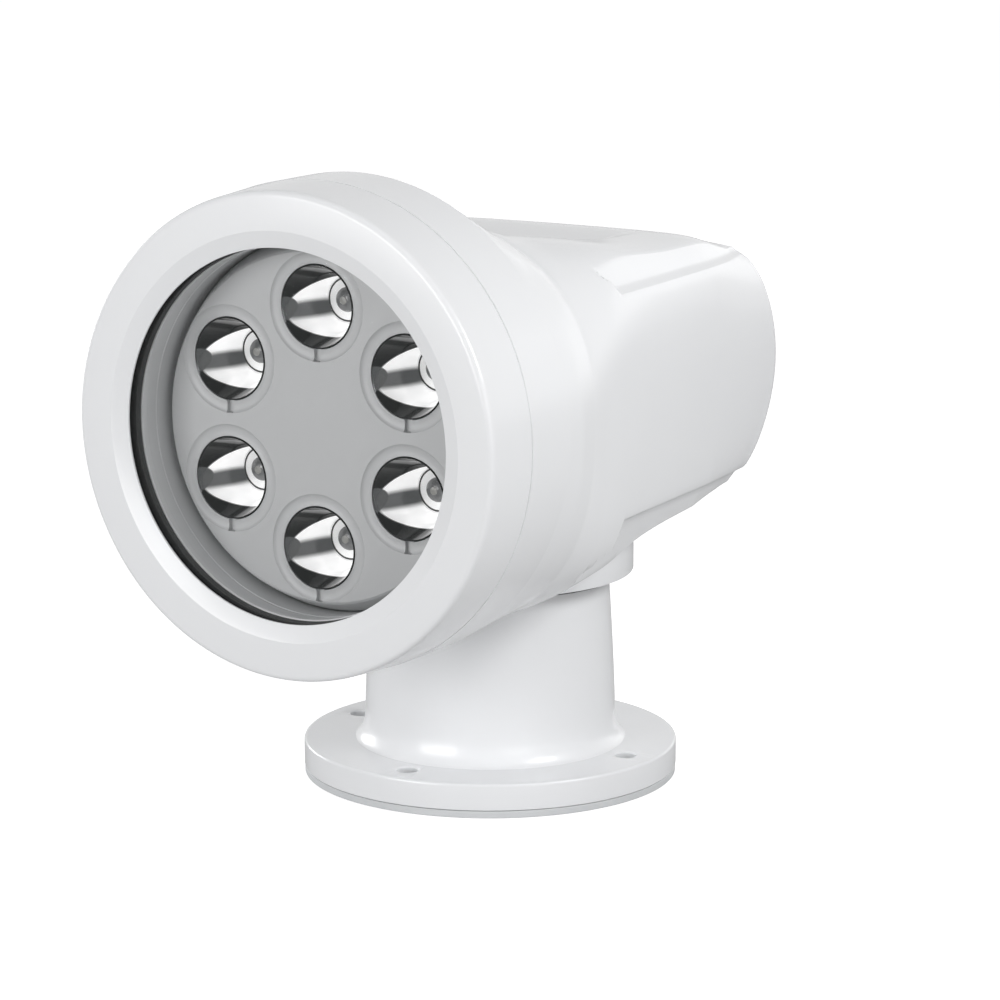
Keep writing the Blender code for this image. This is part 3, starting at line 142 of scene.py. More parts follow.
def cylinder_mesh(radius, low, high, steps=48, at=(0.0, 0.0)):
    bm = bmesh.new()
    bmesh.ops.create_cone(bm, cap_ends=True, segments=steps, radius1=radius, radius2=radius,
                          depth=high - low)
    bmesh.ops.translate(bm, verts=bm.verts, vec=(at[0], at[1], (low + high) / 2))
    return mesh_of(bm)


def joined(meshes):
    bm = bmesh.new()
    for mesh in meshes:
        bm.from_mesh(mesh)
    return mesh_of(bm)


def cut(mesh, cutters, operation="DIFFERENCE"):
    """The mesh with each cutter taken from it, or joined to it."""
    scene = bpy.context.scene
    for cutter in cutters:
        a = bpy.data.objects.new("blank", mesh)
        b = bpy.data.objects.new("cutter", cutter)
        for obj in (a, b):
            scene.collection.objects.link(obj)
        mod = a.modifiers.new("cut", "BOOLEAN")
        mod.operation, mod.solver, mod.object = operation, "EXACT", b
        bpy.context.view_layer.update()
        graph = bpy.context.evaluated_depsgraph_get()
        mesh = bpy.data.meshes.new_from_object(a.evaluated_get(graph))
        for obj in (a, b):
            bpy.data.objects.remove(obj, do_unlink=True)
    return mesh


def around(radius, count, start=0.0):
    step = 2 * math.pi / count
    return [(radius * math.cos(start + i * step), radius * math.sin(start + i * step))
            for i in range(count)]


# a Geometry Nodes tree that sets copies of a piece out on a ring
def add_node(tree, kind, settings=None, inputs=None, links=None):
    """Adds a node, sets its properties and socket values, and links sockets into it."""
    node = tree.nodes.new(kind)
    for key, value in (settings or {}).items():
        setattr(node, key, value)
    for key, value in (inputs or {}).items():
        node.inputs[key].default_value = value
    for key, source in (links or {}).items():
        tree.links.new(source, node.inputs[key])
    return node


def ring_pattern():
    tree = bpy.data.node_groups.new("copies_on_a_ring", "GeometryNodeTree")
    face = tree.interface
    face.new_socket("Piece", in_out="INPUT", socket_type="NodeSocketGeometry")
    for name, kind in (("Count", "NodeSocketInt"), ("Radius", "NodeSocketFloat"),
                       ("Start", "NodeSocketVector"), ("Finish", "NodeSocketMaterial")):
        face.new_socket(name, in_out="INPUT", socket_type=kind)
    face.new_socket("Ring", in_out="OUTPUT", socket_type="NodeSocketGeometry")
    given = add_node(tree, "NodeGroupInput").outputs
    circle = add_node(tree, "GeometryNodeMeshCircle",
                      links={"Vertices": given["Count"], "Radius": given["Radius"]})
    turn = add_node(tree, "GeometryNodeTransform",
                    links={"Geometry": circle.outputs["Mesh"], "Rotation": given["Start"]})
    copies = add_node(tree, "GeometryNodeInstanceOnPoints",
                      links={"Points": turn.outputs["Geometry"], "Instance": given["Piece"]})
    real = add_node(tree, "GeometryNodeRealizeInstances",
                    links={"Geometry": copies.outputs["Instances"]})
    finish = add_node(tree, "GeometryNodeSetMaterial",
                      links={"Geometry": real.outputs["Geometry"], "Material": given["Finish"]})
    add_node(tree, "NodeGroupOutput", links={"Ring": finish.outputs["Geometry"]})
    return tree


def row_pattern():
    tree = bpy.data.node_groups.new("copies_in_a_row", "GeometryNodeTree")
    face = tree.interface
    face.new_socket("Piece", in_out="INPUT", socket_type="NodeSocketGeometry")
    for name, kind in (("Count", "NodeSocketInt"), ("Start", "NodeSocketVector"),
                       ("Pitch", "NodeSocketVector"), ("Finish", "NodeSocketMaterial")):
        face.new_socket(name, in_out="INPUT", socket_type=kind)
    face.new_socket("Row", in_out="OUTPUT", socket_type="NodeSocketGeometry")
    given = add_node(tree, "NodeGroupInput").outputs
    line = add_node(tree, "GeometryNodeMeshLine",
                    links={"Count": given["Count"], "Start Location": given["Start"],
                           "Offset": given["Pitch"]})
    copies = add_node(tree, "GeometryNodeInstanceOnPoints",
                      links={"Points": line.outputs["Mesh"], "Instance": given["Piece"]})
    real = add_node(tree, "GeometryNodeRealizeInstances",
                    links={"Geometry": copies.outputs["Instances"]})
    finish = add_node(tree, "GeometryNodeSetMaterial",
                      links={"Geometry": real.outputs["Geometry"], "Material": given["Finish"]})
    add_node(tree, "NodeGroupOutput", links={"Row": finish.outputs["Geometry"]})
    return tree


RING, ROW = ring_pattern(), row_pattern()


def patterned(mesh, tree, values):
    """The mesh repeated by the tree, as a plain mesh in millimetres."""
    obj = bpy.data.objects.new("one", mesh)
    bpy.context.scene.collection.objects.link(obj)
    mod = obj.modifiers.new("pattern", "NODES")
    mod.node_group = tree
    for item in tree.interface.items_tree:
        if item.in_out == "INPUT" and item.name in values:
            mod[item.identifier] = values[item.name]
    bpy.context.view_layer.update()
    graph = bpy.context.evaluated_depsgraph_get()
    made = bpy.data.meshes.new_from_object(obj.evaluated_get(graph))
    bpy.data.objects.remove(obj, do_unlink=True)
    return made


# materials
def colour(code):
    """Linear RGBA from an sRGB hex code."""
    parts = [int(code[i:i + 2], 16) / 255 for i in (1, 3, 5)]
    return tuple(c / 12.92 if c <= 0.04045 else ((c + 0.055) / 1.055) ** 2.4 for c in parts) + (
        1.0,)


def surface(name, base, roughness, metallic=0.0, ior=None, grain=None, tint=None, coat=0.0,
            alpha=1.0, spread=0.04):
    """A material on Object coordinates. grain is (size in mm, height in mm) of a bump; tint is a
    second colour that shows in broad soft patches of the size in mm given with it."""
    mat = bpy.data.materials.new(name)
    mat.use_nodes = True
    tree = mat.node_tree
    shader = tree.nodes["Principled BSDF"]
    shader.inputs["Base Color"].default_value = colour(base)
    shader.inputs["Roughness"].default_value = roughness
    shader.inputs["Metallic"].default_value = metallic
    shader.inputs["Coat Weight"].default_value = coat
    shader.inputs["Coat Roughness"].default_value = 0.08
    shader.inputs["Alpha"].default_value = alpha
    if ior:
        shader.inputs["IOR"].default_value = ior
    if tint or grain:
        where = add_node(tree, "ShaderNodeTexCoord").outputs["Object"]
    if tint:
        patches = add_node(tree, "ShaderNodeTexNoise", inputs={
            "Scale": 1000.0 / tint[1], "Detail": 3.0, "Roughness": 0.5}, links={"Vector": where})
        mix = add_node(tree, "ShaderNodeMix", {"data_type": "RGBA"})
        tree.links.new(patches.outputs["Fac"], mix.inputs["Factor"])
        mix.inputs[6].default_value = colour(base)
        mix.inputs[7].default_value = colour(tint[0])
        tree.links.new(mix.outputs[2], shader.inputs["Base Color"])
    if grain:
        noise = add_node(tree, "ShaderNodeTexNoise", inputs={
            "Scale": 1000.0 / grain[0], "Detail": 4.0, "Roughness": 0.55}, links={"Vector": where})
        bump = add_node(tree, "ShaderNodeBump", inputs={"Strength": 1.0, "Distance": grain[1] * MM},
                        links={"Height": noise.outputs["Fac"]})
        tree.links.new(bump.outputs["Normal"], shader.inputs["Normal"])
        if spread:
            rough = add_node(tree, "ShaderNodeMapRange", inputs={
                "From Min": 0.3, "From Max": 0.7, "To Min": roughness - spread,
                "To Max": roughness + spread}, links={"Value": noise.outputs["Fac"]})
            tree.links.new(rough.outputs["Result"], shader.inputs["Roughness"])
    return mat


# ASA, injection moulded and polished: a bright cool white with a soft gloss and faint sink marks
WHITE_ASA = surface("white moulded ASA", "#f0f1f2", 0.26, ior=1.5, grain=(2.5, 0.0006),
                    tint=("#eeeff1", 90.0), coat=0.12, spread=0.01)
# Silicone sheet, die cut: a dull cool grey with a fine dusty grain
SILICONE = surface("grey silicone sheet", "#d6d8d9", 0.62, grain=(0.8, 0.006),
                   tint=("#cdcfd1", 12.0))
# EPDM rubber, moulded: near black, matt, slightly grey where it has been handled
EPDM = surface("black EPDM rubber", "#1c1c1d", 0.62, grain=(0.7, 0.03), tint=("#242425", 8.0))
# ABS, spark-eroded mould: a mid grey satin whose grain spreads the highlights
GREY_ABS = surface("grey satin ABS", "#bebfc0", 0.42, grain=(0.9, 0.002),
                   tint=("#b9babb", 30.0), spread=0.04)
# The same ABS on the wall round the tray, with painted light: drawn paler to offset the shade of the
# bezel's lip
WALL_ABS_PAINTED_PALER = surface("grey ABS painted paler against shade", "#dcddde", 0.4, grain=(0.9, 0.002), tint=("#d6d7d8", 25.0))


# painted reflection: the near-black tone painted over and under the cups' bright oval, where a
# mirror shows dark surroundings
PAINTED_DARK_REFLECTION = "#060607"


def mirror_cup():
    """Aluminised polycarbonate with painted reflections: painted bright in a low oval as a painted
    reflection of the sky, painted nearly black over and under it as a painted reflection of dark
    surroundings, with a grey band of painted reflection across from the left. The faint glow is
    painted light that stands for the light the bowl gathers."""
    mat = surface("aluminised cup with painted reflections", "#fbfbfb", 0.08, 1.0)
    tree = mat.node_tree
    shader = tree.nodes["Principled BSDF"]
    at = add_node(tree, "ShaderNodeUVMap", {"uv_map": "front_view"}).outputs["UV"]
    tone, sheen = None, None
    # each oval of painted reflection: centre and half size in mm on the front view, softness of its
    # edge, tone inside and outside; None keeps the tone so far. The bright oval, the grey band, the
    # near-black mouth and the small grey patch at the left are all painted reflection
    for centre, half, soft, inside, outside in (
            ((-11.5, -3.4), (9.5, 3.4), 0.4, "#48494a", "#fbfbfb"),
            ((0.0, -1.9), (15.6, 11.5), 0.015, None, PAINTED_DARK_REFLECTION),
            ((-15.9, -3.0), (1.9, 5.6), 0.06, "#3c3d3e", None)):
        moved = add_node(tree, "ShaderNodeMapping", {"vector_type": "TEXTURE"}, {
            "Location": (*centre, 0.0), "Scale": (*half, 1.0)}, {"Vector": at})
        far = add_node(tree, "ShaderNodeVectorMath", {"operation": "LENGTH"},
                       links={0: moved.outputs["Vector"]})
        oval = add_node(tree, "ShaderNodeMapRange", {"interpolation_type": "SMOOTHSTEP"}, {
            "From Min": 1.0 - soft, "From Max": 1.0 + soft}, {"Value": far.outputs["Value"]})
        mix = add_node(tree, "ShaderNodeMix", {"data_type": "RGBA"},
                       links={"Factor": oval.outputs["Result"]})
        for socket, value in ((6, inside), (7, outside)):
            if value:
                mix.inputs[socket].default_value = colour(value)
            else:
                tree.links.new(tone, mix.inputs[socket])
        tone = mix.outputs[2]
        if outside == PAINTED_DARK_REFLECTION:
            sheen = add_node(tree, "ShaderNodeMapRange", inputs={"To Min": 0.06, "To Max": 1.0},
                             links={"Value": oval.outputs["Result"]}).outputs["Result"]
    tree.links.new(tone, shader.inputs["Base Color"])
    # painted light: the cup's painted tones glow with emission, though the cup is no lamp
    tree.links.new(tone, shader.inputs["Emission Color"])
    shader.inputs["Emission Strength"].default_value = 0.45
    tree.links.new(sheen, shader.inputs["Metallic"])
    return mat


MIRROR = mirror_cup()

# Ceramic round the emitter: flat bright white
CERAMIC = surface("white ceramic", "#fbfbfb", 0.5, grain=(0.5, 0.01))
# Silicone dome over the emitter: a smoky grey lens with a wet shine
DOME = surface("silicone emitter dome", "#606162", 0.2, ior=1.41, grain=(1.5, 0.004),
               tint=("#6a6b6c", 2.0), coat=0.2)
# Phosphor on the chip: the paler spot in the middle
PHOSPHOR = surface("phosphor chip", "#8f8f8d", 0.3, grain=(0.3, 0.004), tint=("#868580", 1.0))
# FR4 with green solder mask: dark green, satin
FR4 = surface("green solder mask", "#14593a", 0.35, grain=(1.2, 0.01), tint=("#104c31", 6.0))
# Cast aluminium, bead blasted: pale and soft
CAST = surface("blasted cast aluminium", "#b4b6b7", 0.45, 1.0, grain=(0.7, 0.03),
               tint=("#a8aaab", 15.0))
# A2 stainless, machined: brighter, finer and slightly warm
STAINLESS = surface("machined stainless steel", "#bdbcb8", 0.28, 1.0, grain=(0.4, 0.01),
                    tint=("#b3b1ad", 6.0))
BRASS = surface("machined brass", "#c9a767", 0.3, 1.0, grain=(0.4, 0.01), tint=("#b9965a", 5.0))
# Nylon 66 with glass fibre, moulded: charcoal, with a cloudy fibre bloom
NYLON = surface("black glass-filled nylon", "#1d1e1f", 0.5, grain=(0.5, 0.02),
                tint=("#2a2b2c", 3.0))
# Acetal, hobbed: milky, slightly waxy
ACETAL = surface("white acetal", "#e9e8e2", 0.35, grain=(0.6, 0.01), tint=("#e1e0d9", 10.0))
# Steel motor can in black e-coat
E_COAT = surface("black e-coated steel", "#27282a", 0.36, 0.3, grain=(0.8, 0.01),
                 tint=("#303133", 8.0))


def glass():
    """Clear coated glass: nearly gone face on, with a faint cool cast in broad soft clouds."""
    mat = surface("coated toughened glass", "#dfe6e4", 0.02, ior=1.5, tint=("#e3e8e7", 60.0),
                  alpha=0.02)
    mat.node_tree.nodes["Principled BSDF"].inputs["Specular IOR Level"].default_value = 0.15
    return mat


GLASS = glass()

SLOT_LOOKS = {
    "black_nylon": NYLON, "stainless": STAINLESS, "white_acetal": ACETAL, "black_rubber": EPDM,
    "cast_aluminium": CAST, "brass": BRASS, "motor_can": E_COAT, "circuit_board": FR4,
    "white_moulding": WHITE_ASA, "grey_silicone": SILICONE, "tray_grey": GREY_ABS,
    "shroud_dark": WALL_ABS_PAINTED_PALER, "cup_mirror": MIRROR, "clear_glass": GLASS,
}
for entry in frame["record"]["subparts"]:
    obj = nodes[entry["node"]]
    for slot in obj.material_slots:
        slot.material = SLOT_LOOKS[entry["material_slot"]]

# pedestal: flange, fillet, bowed column, deck and bearing boss
FLANGE_RADIUS, FLANGE_TOP = 80.0, 14.6
BOLT_CIRCLE, BOLT_HOLE = 66.75, 4.5  # radii
COLUMN_LOW, COLUMN_HIGH = 31.0, 87.0  # heights between which the column is bowed
FOOT_RADIUS, TOP_RADIUS = 53.6, 50.7
FILLET_REACH = 4.4  # from the column's foot out to the flange


def column_radius(z):
    t = (z - COLUMN_LOW) / (COLUMN_HIGH - COLUMN_LOW)
    return FOOT_RADIUS + (TOP_RADIUS - FOOT_RADIUS) * t ** 1.25


column = [(column_radius(z), z) for z in
          (COLUMN_HIGH - (COLUMN_HIGH - COLUMN_LOW) * i / 14 for i in range(15))]
foot = []
for i in range(1, 13):
    t = i / 12
    foot.append((FOOT_RADIUS + FILLET_REACH * t ** 2.6,
                 COLUMN_LOW - (COLUMN_LOW - FLANGE_TOP) * (1 - (1 - t) ** 1.35)))
flange = rounded([(57.9, FLANGE_TOP), (FLANGE_RADIUS, FLANGE_TOP), (FLANGE_RADIUS, 3.3),
                  (46.0, 3.3)], [0, 1.3, 0.3, 0])[1:]
inside = [(46.0, 19.7), (36.5, 19.7), (36.5, 24.7), (46.5, 27.7), (46.5, 85.0), (28.0, 85.0),
          (28.0, 66.3), (20.1, 66.3), (20.1, 79.0), (23.8, 79.0), (23.8, 91.0), (48.6, 91.0),
          (49.0, 90.6), (49.0, 87.0)]
casting = turned(column + foot + flange + inside, 176)
bolt_cutters = []
for x, y in around(BOLT_CIRCLE, 4):
    hole = turned([(0.0, 30.0), (5.4, 30.0), (5.4, FLANGE_TOP + 0.01), (4.95, FLANGE_TOP - 0.12),
                   (BOLT_HOLE, FLANGE_TOP - 0.6), (BOLT_HOLE, -12.0), (0.0, -12.0)], 40)
    hole.transform(Matrix.Translation((x, y, 0)))
    bolt_cutters.append(hole)
casting = cut(casting, [joined(bolt_cutters)])
piece("pedestal_casting", place(casting), WHITE_ASA, "base", ["pedestal"])

gasket = turned(rounded([(0.0, 3.0), (79.8, 3.0), (79.8, 0.0), (0.0, 0.0)], [0, 0.3, 0.3, 0]), 176)
gasket = cut(gasket, [cylinder_mesh(BOLT_HOLE, -5, 8, 40, at) for at in around(BOLT_CIRCLE, 4)]
             + [cylinder_mesh(13.5, -5, 8, 64, (0.0, 24.0))])
piece("deck_gasket_sheet", place(gasket), SILICONE, "base", ["base_gasket"])

# head shell: a loft through drawn sections, with the corner rebates in the section itself
STATIONS = (
    (-103.0, 98.4, 98.4, 98.4, 2.0),
    (-92.0, 97.9, 89.4, 93.5, 2.2),
    (-80.0, 96.2, 80.4, 89.0, 2.5),
    (-65.0, 94.3, 74.0, 83.0, 3.4),
    (-50.0, 92.7, 70.5, 76.0, 4.6),
    (-30.0, 90.6, 67.3, 69.5, 6.4),
    (-10.0, 88.4, 64.1, 63.2, 8.0),
    (15.0, 85.8, 61.7, 60.4, 8.6),
    (50.0, 82.0, 60.0, 59.1, 9.0),
    (72.0, 79.7, 58.5, 58.1, 9.0),
    (92.0, 77.6, 55.0, 57.2, 9.0),
    (112.0, 75.4, 50.5, 56.4, 9.0),
    (124.0, 74.2, 48.0, 55.8, 9.0),
)


def station(y):
    """Half width, top, bottom and squareness at a length y, smoothly between the drawn ones
    behind the crease at -80 and straight on the shoulder before it."""
    rows = STATIONS
    if y <= rows[0][0]:
        return rows[0][1:]
    for i in range(len(rows) - 1):
        a, b = rows[i], rows[i + 1]
        if y > b[0]:
            continue
        t = (y - a[0]) / (b[0] - a[0])
        if b[0] <= -80.0:
            return tuple(p + (q - p) * t for p, q in zip(a[1:], b[1:]))
        before = rows[i - 1] if a[0] > -80.0 else a
        after = rows[min(i + 2, len(rows) - 1)]
        values = []
        for k in range(1, 5):
            slope_a = (b[k] - before[k]) / (b[0] - before[0])
            slope_b = (after[k] - a[k]) / (after[0] - a[0])
            run = b[0] - a[0]
            h = (2 * t ** 3 - 3 * t ** 2 + 1, t ** 3 - 2 * t ** 2 + t,
                 -2 * t ** 3 + 3 * t ** 2, t ** 3 - t ** 2)
            values.append(h[0] * a[k] + h[1] * run * slope_a + h[2] * b[k] + h[3] * run * slope_b)
        return tuple(values)
    return rows[-1][1:]


def smooth(t):
    t = min(max(t, 0.0), 1.0)
    return t * t * (3 - 2 * t)


def dome(x, z):
    """Length at which the doubly curved back stands over a point of the section."""
    return 137.0 - 0.003 * x * x - 0.0107 * z * z


REAR_FILLET = 4.2
SEAM = -131.6  # length at which the shell meets the bezel
BARREL = 2.2  # bulge of the flank
WALL_THICKNESS = 3.8
# the stepped rebate along each long corner: depth, height of its step, slope of its facet, and
# where it starts, how far that start slants, and over what length it takes shape
REBATE, RISE, LEAN = 4.3, 2.2, 0.42
REBATE_START, REBATE_SLANT, REBATE_RUN = -45.4, 0.9, 2.4
HOLLOW_DEPTH = 4.0


def ledge(y, up):
    """Height of the rebate's foot over the axis, or under it."""
    return 47.9 - 0.0149 * y if up else 44.1 + 0.0256 * y


def hollow(y):
    """Depth of the shallow hollow along the top."""
    return HOLLOW_DEPTH * smooth((y + 70.0) / 50.0) * smooth((62.0 - y) / 50.0)


def resampled(points, count):
    """The open polyline cut into equal steps."""
    lengths = [0.0]
    for (x0, z0), (x1, z1) in zip(points, points[1:]):
        lengths.append(lengths[-1] + math.hypot(x1 - x0, z1 - z0))
    out, k = [], 0
    for i in range(count):
        want = lengths[-1] * i / (count - 1)
        while k < len(points) - 2 and lengths[k + 1] < want:
            k += 1
        t = (want - lengths[k]) / max(lengths[k + 1] - lengths[k], 1e-9)
        out.append(tuple(p + (q - p) * t for p, q in zip(points[k], points[k + 1])))
    return out


def quarter(y, up):
    """(x, z) points of one quarter of the section, from the flank to the middle, z counted away
    from the axis. The rebate takes shape over a slanted start."""
    wide, top, bottom, power = station(y)
    high = top if up else bottom
    foot = ledge(y, up)

    def side(z):
        barrel = BARREL * smooth((y + 80.0) / 60.0) * min(abs(z) / 48.0, 1.0) ** 2
        return wide * max(1 - abs(z / high) ** power, 0.0) ** (1 / power) - barrel

    edge = side(foot)
    corner = edge - REBATE

    def facet(z):
        return corner - LEAN * (z - foot - RISE)

    z_top = foot + RISE + 1.6
    while z_top < high - 0.4 and facet(z_top) < side(z_top):
        z_top += 0.05
    drawn = [(side(foot - 1.0), foot - 1.0), (edge - 0.05, foot - 0.4), (edge - 0.3, foot),
             (edge - 0.9, foot + 0.35), (edge - 2.2, foot + 1.05), (corner + 0.9, foot + RISE - 0.5),
             (corner + 0.2, foot + RISE), (facet(foot + RISE + 0.7), foot + RISE + 0.7)]
    for t in (0.3, 0.6, 0.85):
        z = foot + RISE + 0.7 + (z_top - foot - RISE - 1.2) * t
        drawn.append((facet(z), z))
    drawn += [(facet(z_top - 0.35) - 0.02, z_top - 0.35), (side(z_top + 0.15) - 0.1, z_top + 0.15),
              (side(min(z_top + 0.8, high - 0.05)), min(z_top + 0.8, high - 0.05))]
    low, end = foot - 1.0, drawn[-1][1]
    points = [(side(low * i / 18), low * i / 18) for i in range(18)]
    count = len(drawn)
    for k, (x, z) in enumerate(drawn):
        plain_z = low + (end - low) * k / (count - 1)
        share = smooth((y - REBATE_START + REBATE_SLANT * (z - foot)) / REBATE_RUN)
        points.append((side(plain_z) + (x - side(plain_z)) * share,
                       plain_z + (z - plain_z) * share))
    crown = []
    theta0 = math.asin(min((end / high) ** (power / 2), 1.0))
    last = points[-1]
    for i in range(121):
        theta = theta0 + (math.pi / 2 - theta0) * i / 120
        crown.append((wide * math.cos(theta) ** (2 / power) if i < 120 else 0.0,
                      high * math.sin(theta) ** (2 / power)))
    slip = last[0] - crown[0][0]
    crown = [(x + slip * max(x / max(crown[0][0], 1.0), 0.0) ** 4, z) for x, z in crown]
    points += resampled(crown, 34)[1:]
    if up:
        deep = hollow(y)
        points = [(x, z - deep * (1 - smooth((x - 34.5) / 13.0)) if z > 50 and x < 48 else z)
                  for x, z in points]
    return points


def section(y):
    """The whole closed section, counter-clockwise from the +X flank."""
    above, below = quarter(y, True), quarter(y, False)
    ring = above[:]
    ring += [(-x, z) for x, z in above[-2::-1]]
    ring += [(-x, -z) for x, z in below[1:]]
    ring += [(x, -z) for x, z in below[-2:0:-1]]
    return ring


def shell_rings():
    """Sections from the seam back, closest where the rebates start, then the back's own rings."""
    lengths = [SEAM, -131.3, -118.0, -103.6, -103.0, -102.3]
    lengths += [-103.0 + 23.0 * i / 10 for i in range(1, 10)] + [-80.7, -79.8]
    lengths += [-79.8 + 1.3 * i for i in range(1, 6)]
    lengths += [-72.0 + 0.3 * i for i in range(103)]
    lengths += [-40.0 + 90.0 * i / 26 for i in range(27)]
    rings = []
    for y in lengths:
        pull = 0.3 if y == SEAM else 0.0
        ring = []
        for x, z in section(y):
            r = math.hypot(x, z)
            ring.append((x * (1 - pull / r), y, z * (1 - pull / r)))
        rings.append(ring)
    for i in range(1, 13):
        share = i / 12
        rings.append([(x, 50 + share * (dome(x, z) - 50 - REAR_FILLET), z)
                      for x, z in section(50 + 60 * share)])
    outline = section(110.0)
    for k in range(1, 8):
        angle = math.pi / 2 * k / 7
        ring = []
        for x, z in outline:
            r = math.hypot(x, z)
            scale = 1 - REAR_FILLET * (1 - math.cos(angle)) / r
            inner = 1 - REAR_FILLET / r
            end = dome(x * inner, z * inner)
            start = dome(x, z) - REAR_FILLET
            ring.append((x * scale, start + (end - start) * math.sin(angle), z * scale))
        rings.append(ring)
    edge = rings[-1]
    for scale in [0.95, 0.88] + [0.8 - 0.1 * i for i in range(8)]:
        rings.append([(x * scale, dome(x * scale, z * scale), z * scale) for x, y, z in edge])
    return rings


def lofted(rings, nose):
    """A closed skin over the rings: flat across the first, drawn to the nose after the last."""
    bm = bmesh.new()
    rows = [[bm.verts.new(p) for p in ring] for ring in rings]
    for a, b in zip(rows, rows[1:]):
        for i in range(len(a)):
            j = (i + 1) % len(a)
            bm.faces.new((a[i], a[j], b[j], b[i]))
    bm.faces.new(rows[0][::-1])
    tip = bm.verts.new(nose)
    for i in range(len(rows[-1])):
        bm.faces.new((rows[-1][i], rows[-1][(i + 1) % len(rows[-1])], tip))
    bmesh.ops.recalc_face_normals(bm, faces=bm.faces)
    return mesh_of(bm)


shell = lofted(shell_rings(), (0.0, dome(0, 0), 0.0))
collar = turned([(0.0, 112.0 - HEAD_Z), (61.2, 112.0 - HEAD_Z), (61.2, 89.25 - HEAD_Z),
                 (61.0, 88.8 - HEAD_Z), (60.6, 88.65 - HEAD_Z), (0.0, 88.65 - HEAD_Z)], 160)
shell = cut(shell, [collar], "UNION")


def cavity_rings():
    """A plain inner space, a wall's thickness in."""
    rings = [[(x, y, z) for x, z in around(94.4, 80)] for y in (-145.0, -109.0)]
    for y in (-103.5, -80.0, -60.0, -30.0, 20.0, 60.0):
        wide, top, bottom, power = station(y)
        ring = []
        for i in range(80):
            angle = 2 * math.pi * i / 80
            c, s = math.cos(angle), math.sin(angle)
            high = (top - hollow(y) - 0.4 if s > 0 else bottom) - WALL_THICKNESS
            p = min(power, 3.4)
            half = wide - WALL_THICKNESS
            reach = ((abs(c) / half) ** p + (abs(s) / high) ** p) ** (-1 / p)
            ring.append((reach * c, y, reach * s))
        rings.append(ring)
    last = rings[-1]
    for scale, back in ((0.93, 12.0), (0.8, 5.0), (0.5, 5.0)):
        rings.append([(x * scale, dome(x * scale, z * scale) - back, z * scale)
                      for x, y, z in last])
    return rings


cavity = lofted(cavity_rings(), (0.0, dome(0, 0) - 5.0, 0.0))
throat = turned([(0.0, -40.0), (52.0, -40.0), (52.0, 101.3 - HEAD_Z), (57.7, 101.3 - HEAD_Z),
                 (57.7, 60.0 - HEAD_Z), (0.0, 60.0 - HEAD_Z)], 160)
shell = cut(shell, [cavity, throat])
piece("head_shell", place(shell, HEAD), WHITE_ASA, "head", ["head_housing"], 24)

# bezel, gasket, glass and the wall behind it
bezel = turned(rounded(
    [(81.1, 158.2), (96.6, 158.2), (98.3, 131.9), (93.95, 131.9), (93.95, 129.3), (91.85, 129.3),
     (91.85, 126.3), (93.95, 126.3), (93.95, 124.3), (89.6, 124.3), (89.6, 149.7), (80.3, 149.7),
     (80.3, 154.9), (74.25, 154.9), (74.25, 155.75)],
    [0.5, 2.8, 0.25, 0, 0, 0, 0, 0, 0, 0, 0, 0, 0, 0.1, 0.15], 8), 224)
piece("bezel_ring", place(bezel, FORWARD), WHITE_ASA, "head", ["bezel"], 24)
lens_gasket = turned(rounded([(74.65, 154.6), (79.9, 154.6), (79.9, 153.9), (74.65, 153.9)],
                             [0.2, 0, 0, 0.2]), 200)
piece("glass_gasket", place(lens_gasket, FORWARD), EPDM, "head", ["lens_gasket"])
glass_disc = turned(rounded([(0.0, 153.6), (80.0, 153.6), (80.0, 150.6), (0.0, 150.6)],
                            [0, 0.4, 0.4, 0]), 200)
piece("glass_disc", place(glass_disc, FORWARD), GLASS, "head", ["lens"])
wall = turned(rounded(
    [(73.8, 147.0), (80.0, 147.0), (80.0, 146.8), (89.3, 146.8), (89.3, 144.0), (77.8, 144.0),
     (77.6, 121.0), (75.8, 121.0), (74.7, 136.2), (74.9, 136.5), (74.5, 142.6), (74.1, 143.2)],
    [0.5, 0, 0, 0.4, 0.4, 1.0, 0.3, 0.5, 0.1, 0.1, 0.2, 0.2]), 200)
piece("shroud_wall", place(wall, FORWARD), WALL_ABS_PAINTED_PALER, "head", ["lens_retainer"])

seal = turned(rounded([(74.5, 150.3), (80.0, 150.3), (80.0, 147.25), (74.3, 147.25)],
                      [0.3, 0, 0, 0.3]), 200)
piece("glass_rear_seal", place(seal, FORWARD), EPDM, "head", ())

# optic tray: plate with a stepped rim, six seats with rounded floors and keyways
tray_profile = rounded(
    [(0.0, 131.9), (69.9, 131.9), (70.9, 130.9), (75.2, 121.9), (75.2, 120.9), (71.0, 119.0),
     (71.0, 104.0), (67.5, 104.0), (67.5, 128.7), (0.0, 128.7)],
    [0, 0.5, 0.6, 0.4, 0.4, 0.4, 0.4, 0.4, 0.5, 0])
tray = turned(tray_profile, 176)
CUP_CIRCLE = 48.35  # radius
seats, keys = [], []
for x, y in around(CUP_CIRCLE, 6, math.pi / 2):
    seat = turned([(0.0, 135.0), (21.9, 135.0), (21.9, 131.95), (21.4, 131.4), (20.6, 131.0),
                   (19.0, 130.85), (17.7, 130.95), (17.0, 131.2), (17.0, 120.0), (0.0, 120.0)],
                  72)
    seat.transform(Matrix.Translation((x, y, 0)))
    seats.append(seat)
    keys.append(box_mesh((3.4, 5.4, 3.7), (x, y - 19.2, 130.95), 0.25))
tray = cut(tray, [joined(seats), joined(keys)])
TILT_AXIS = 112.0
axle = cylinder_mesh(3.3, -90, 90, 32)
axle.transform(Matrix.Translation((0, 0, TILT_AXIS)) @ Matrix.Rotation(math.pi / 2, 4, "Y"))
tray = cut(tray, [axle])
piece("tray_moulding", place(tray, FORWARD), GREY_ABS, "optics", ["optic_tray"])

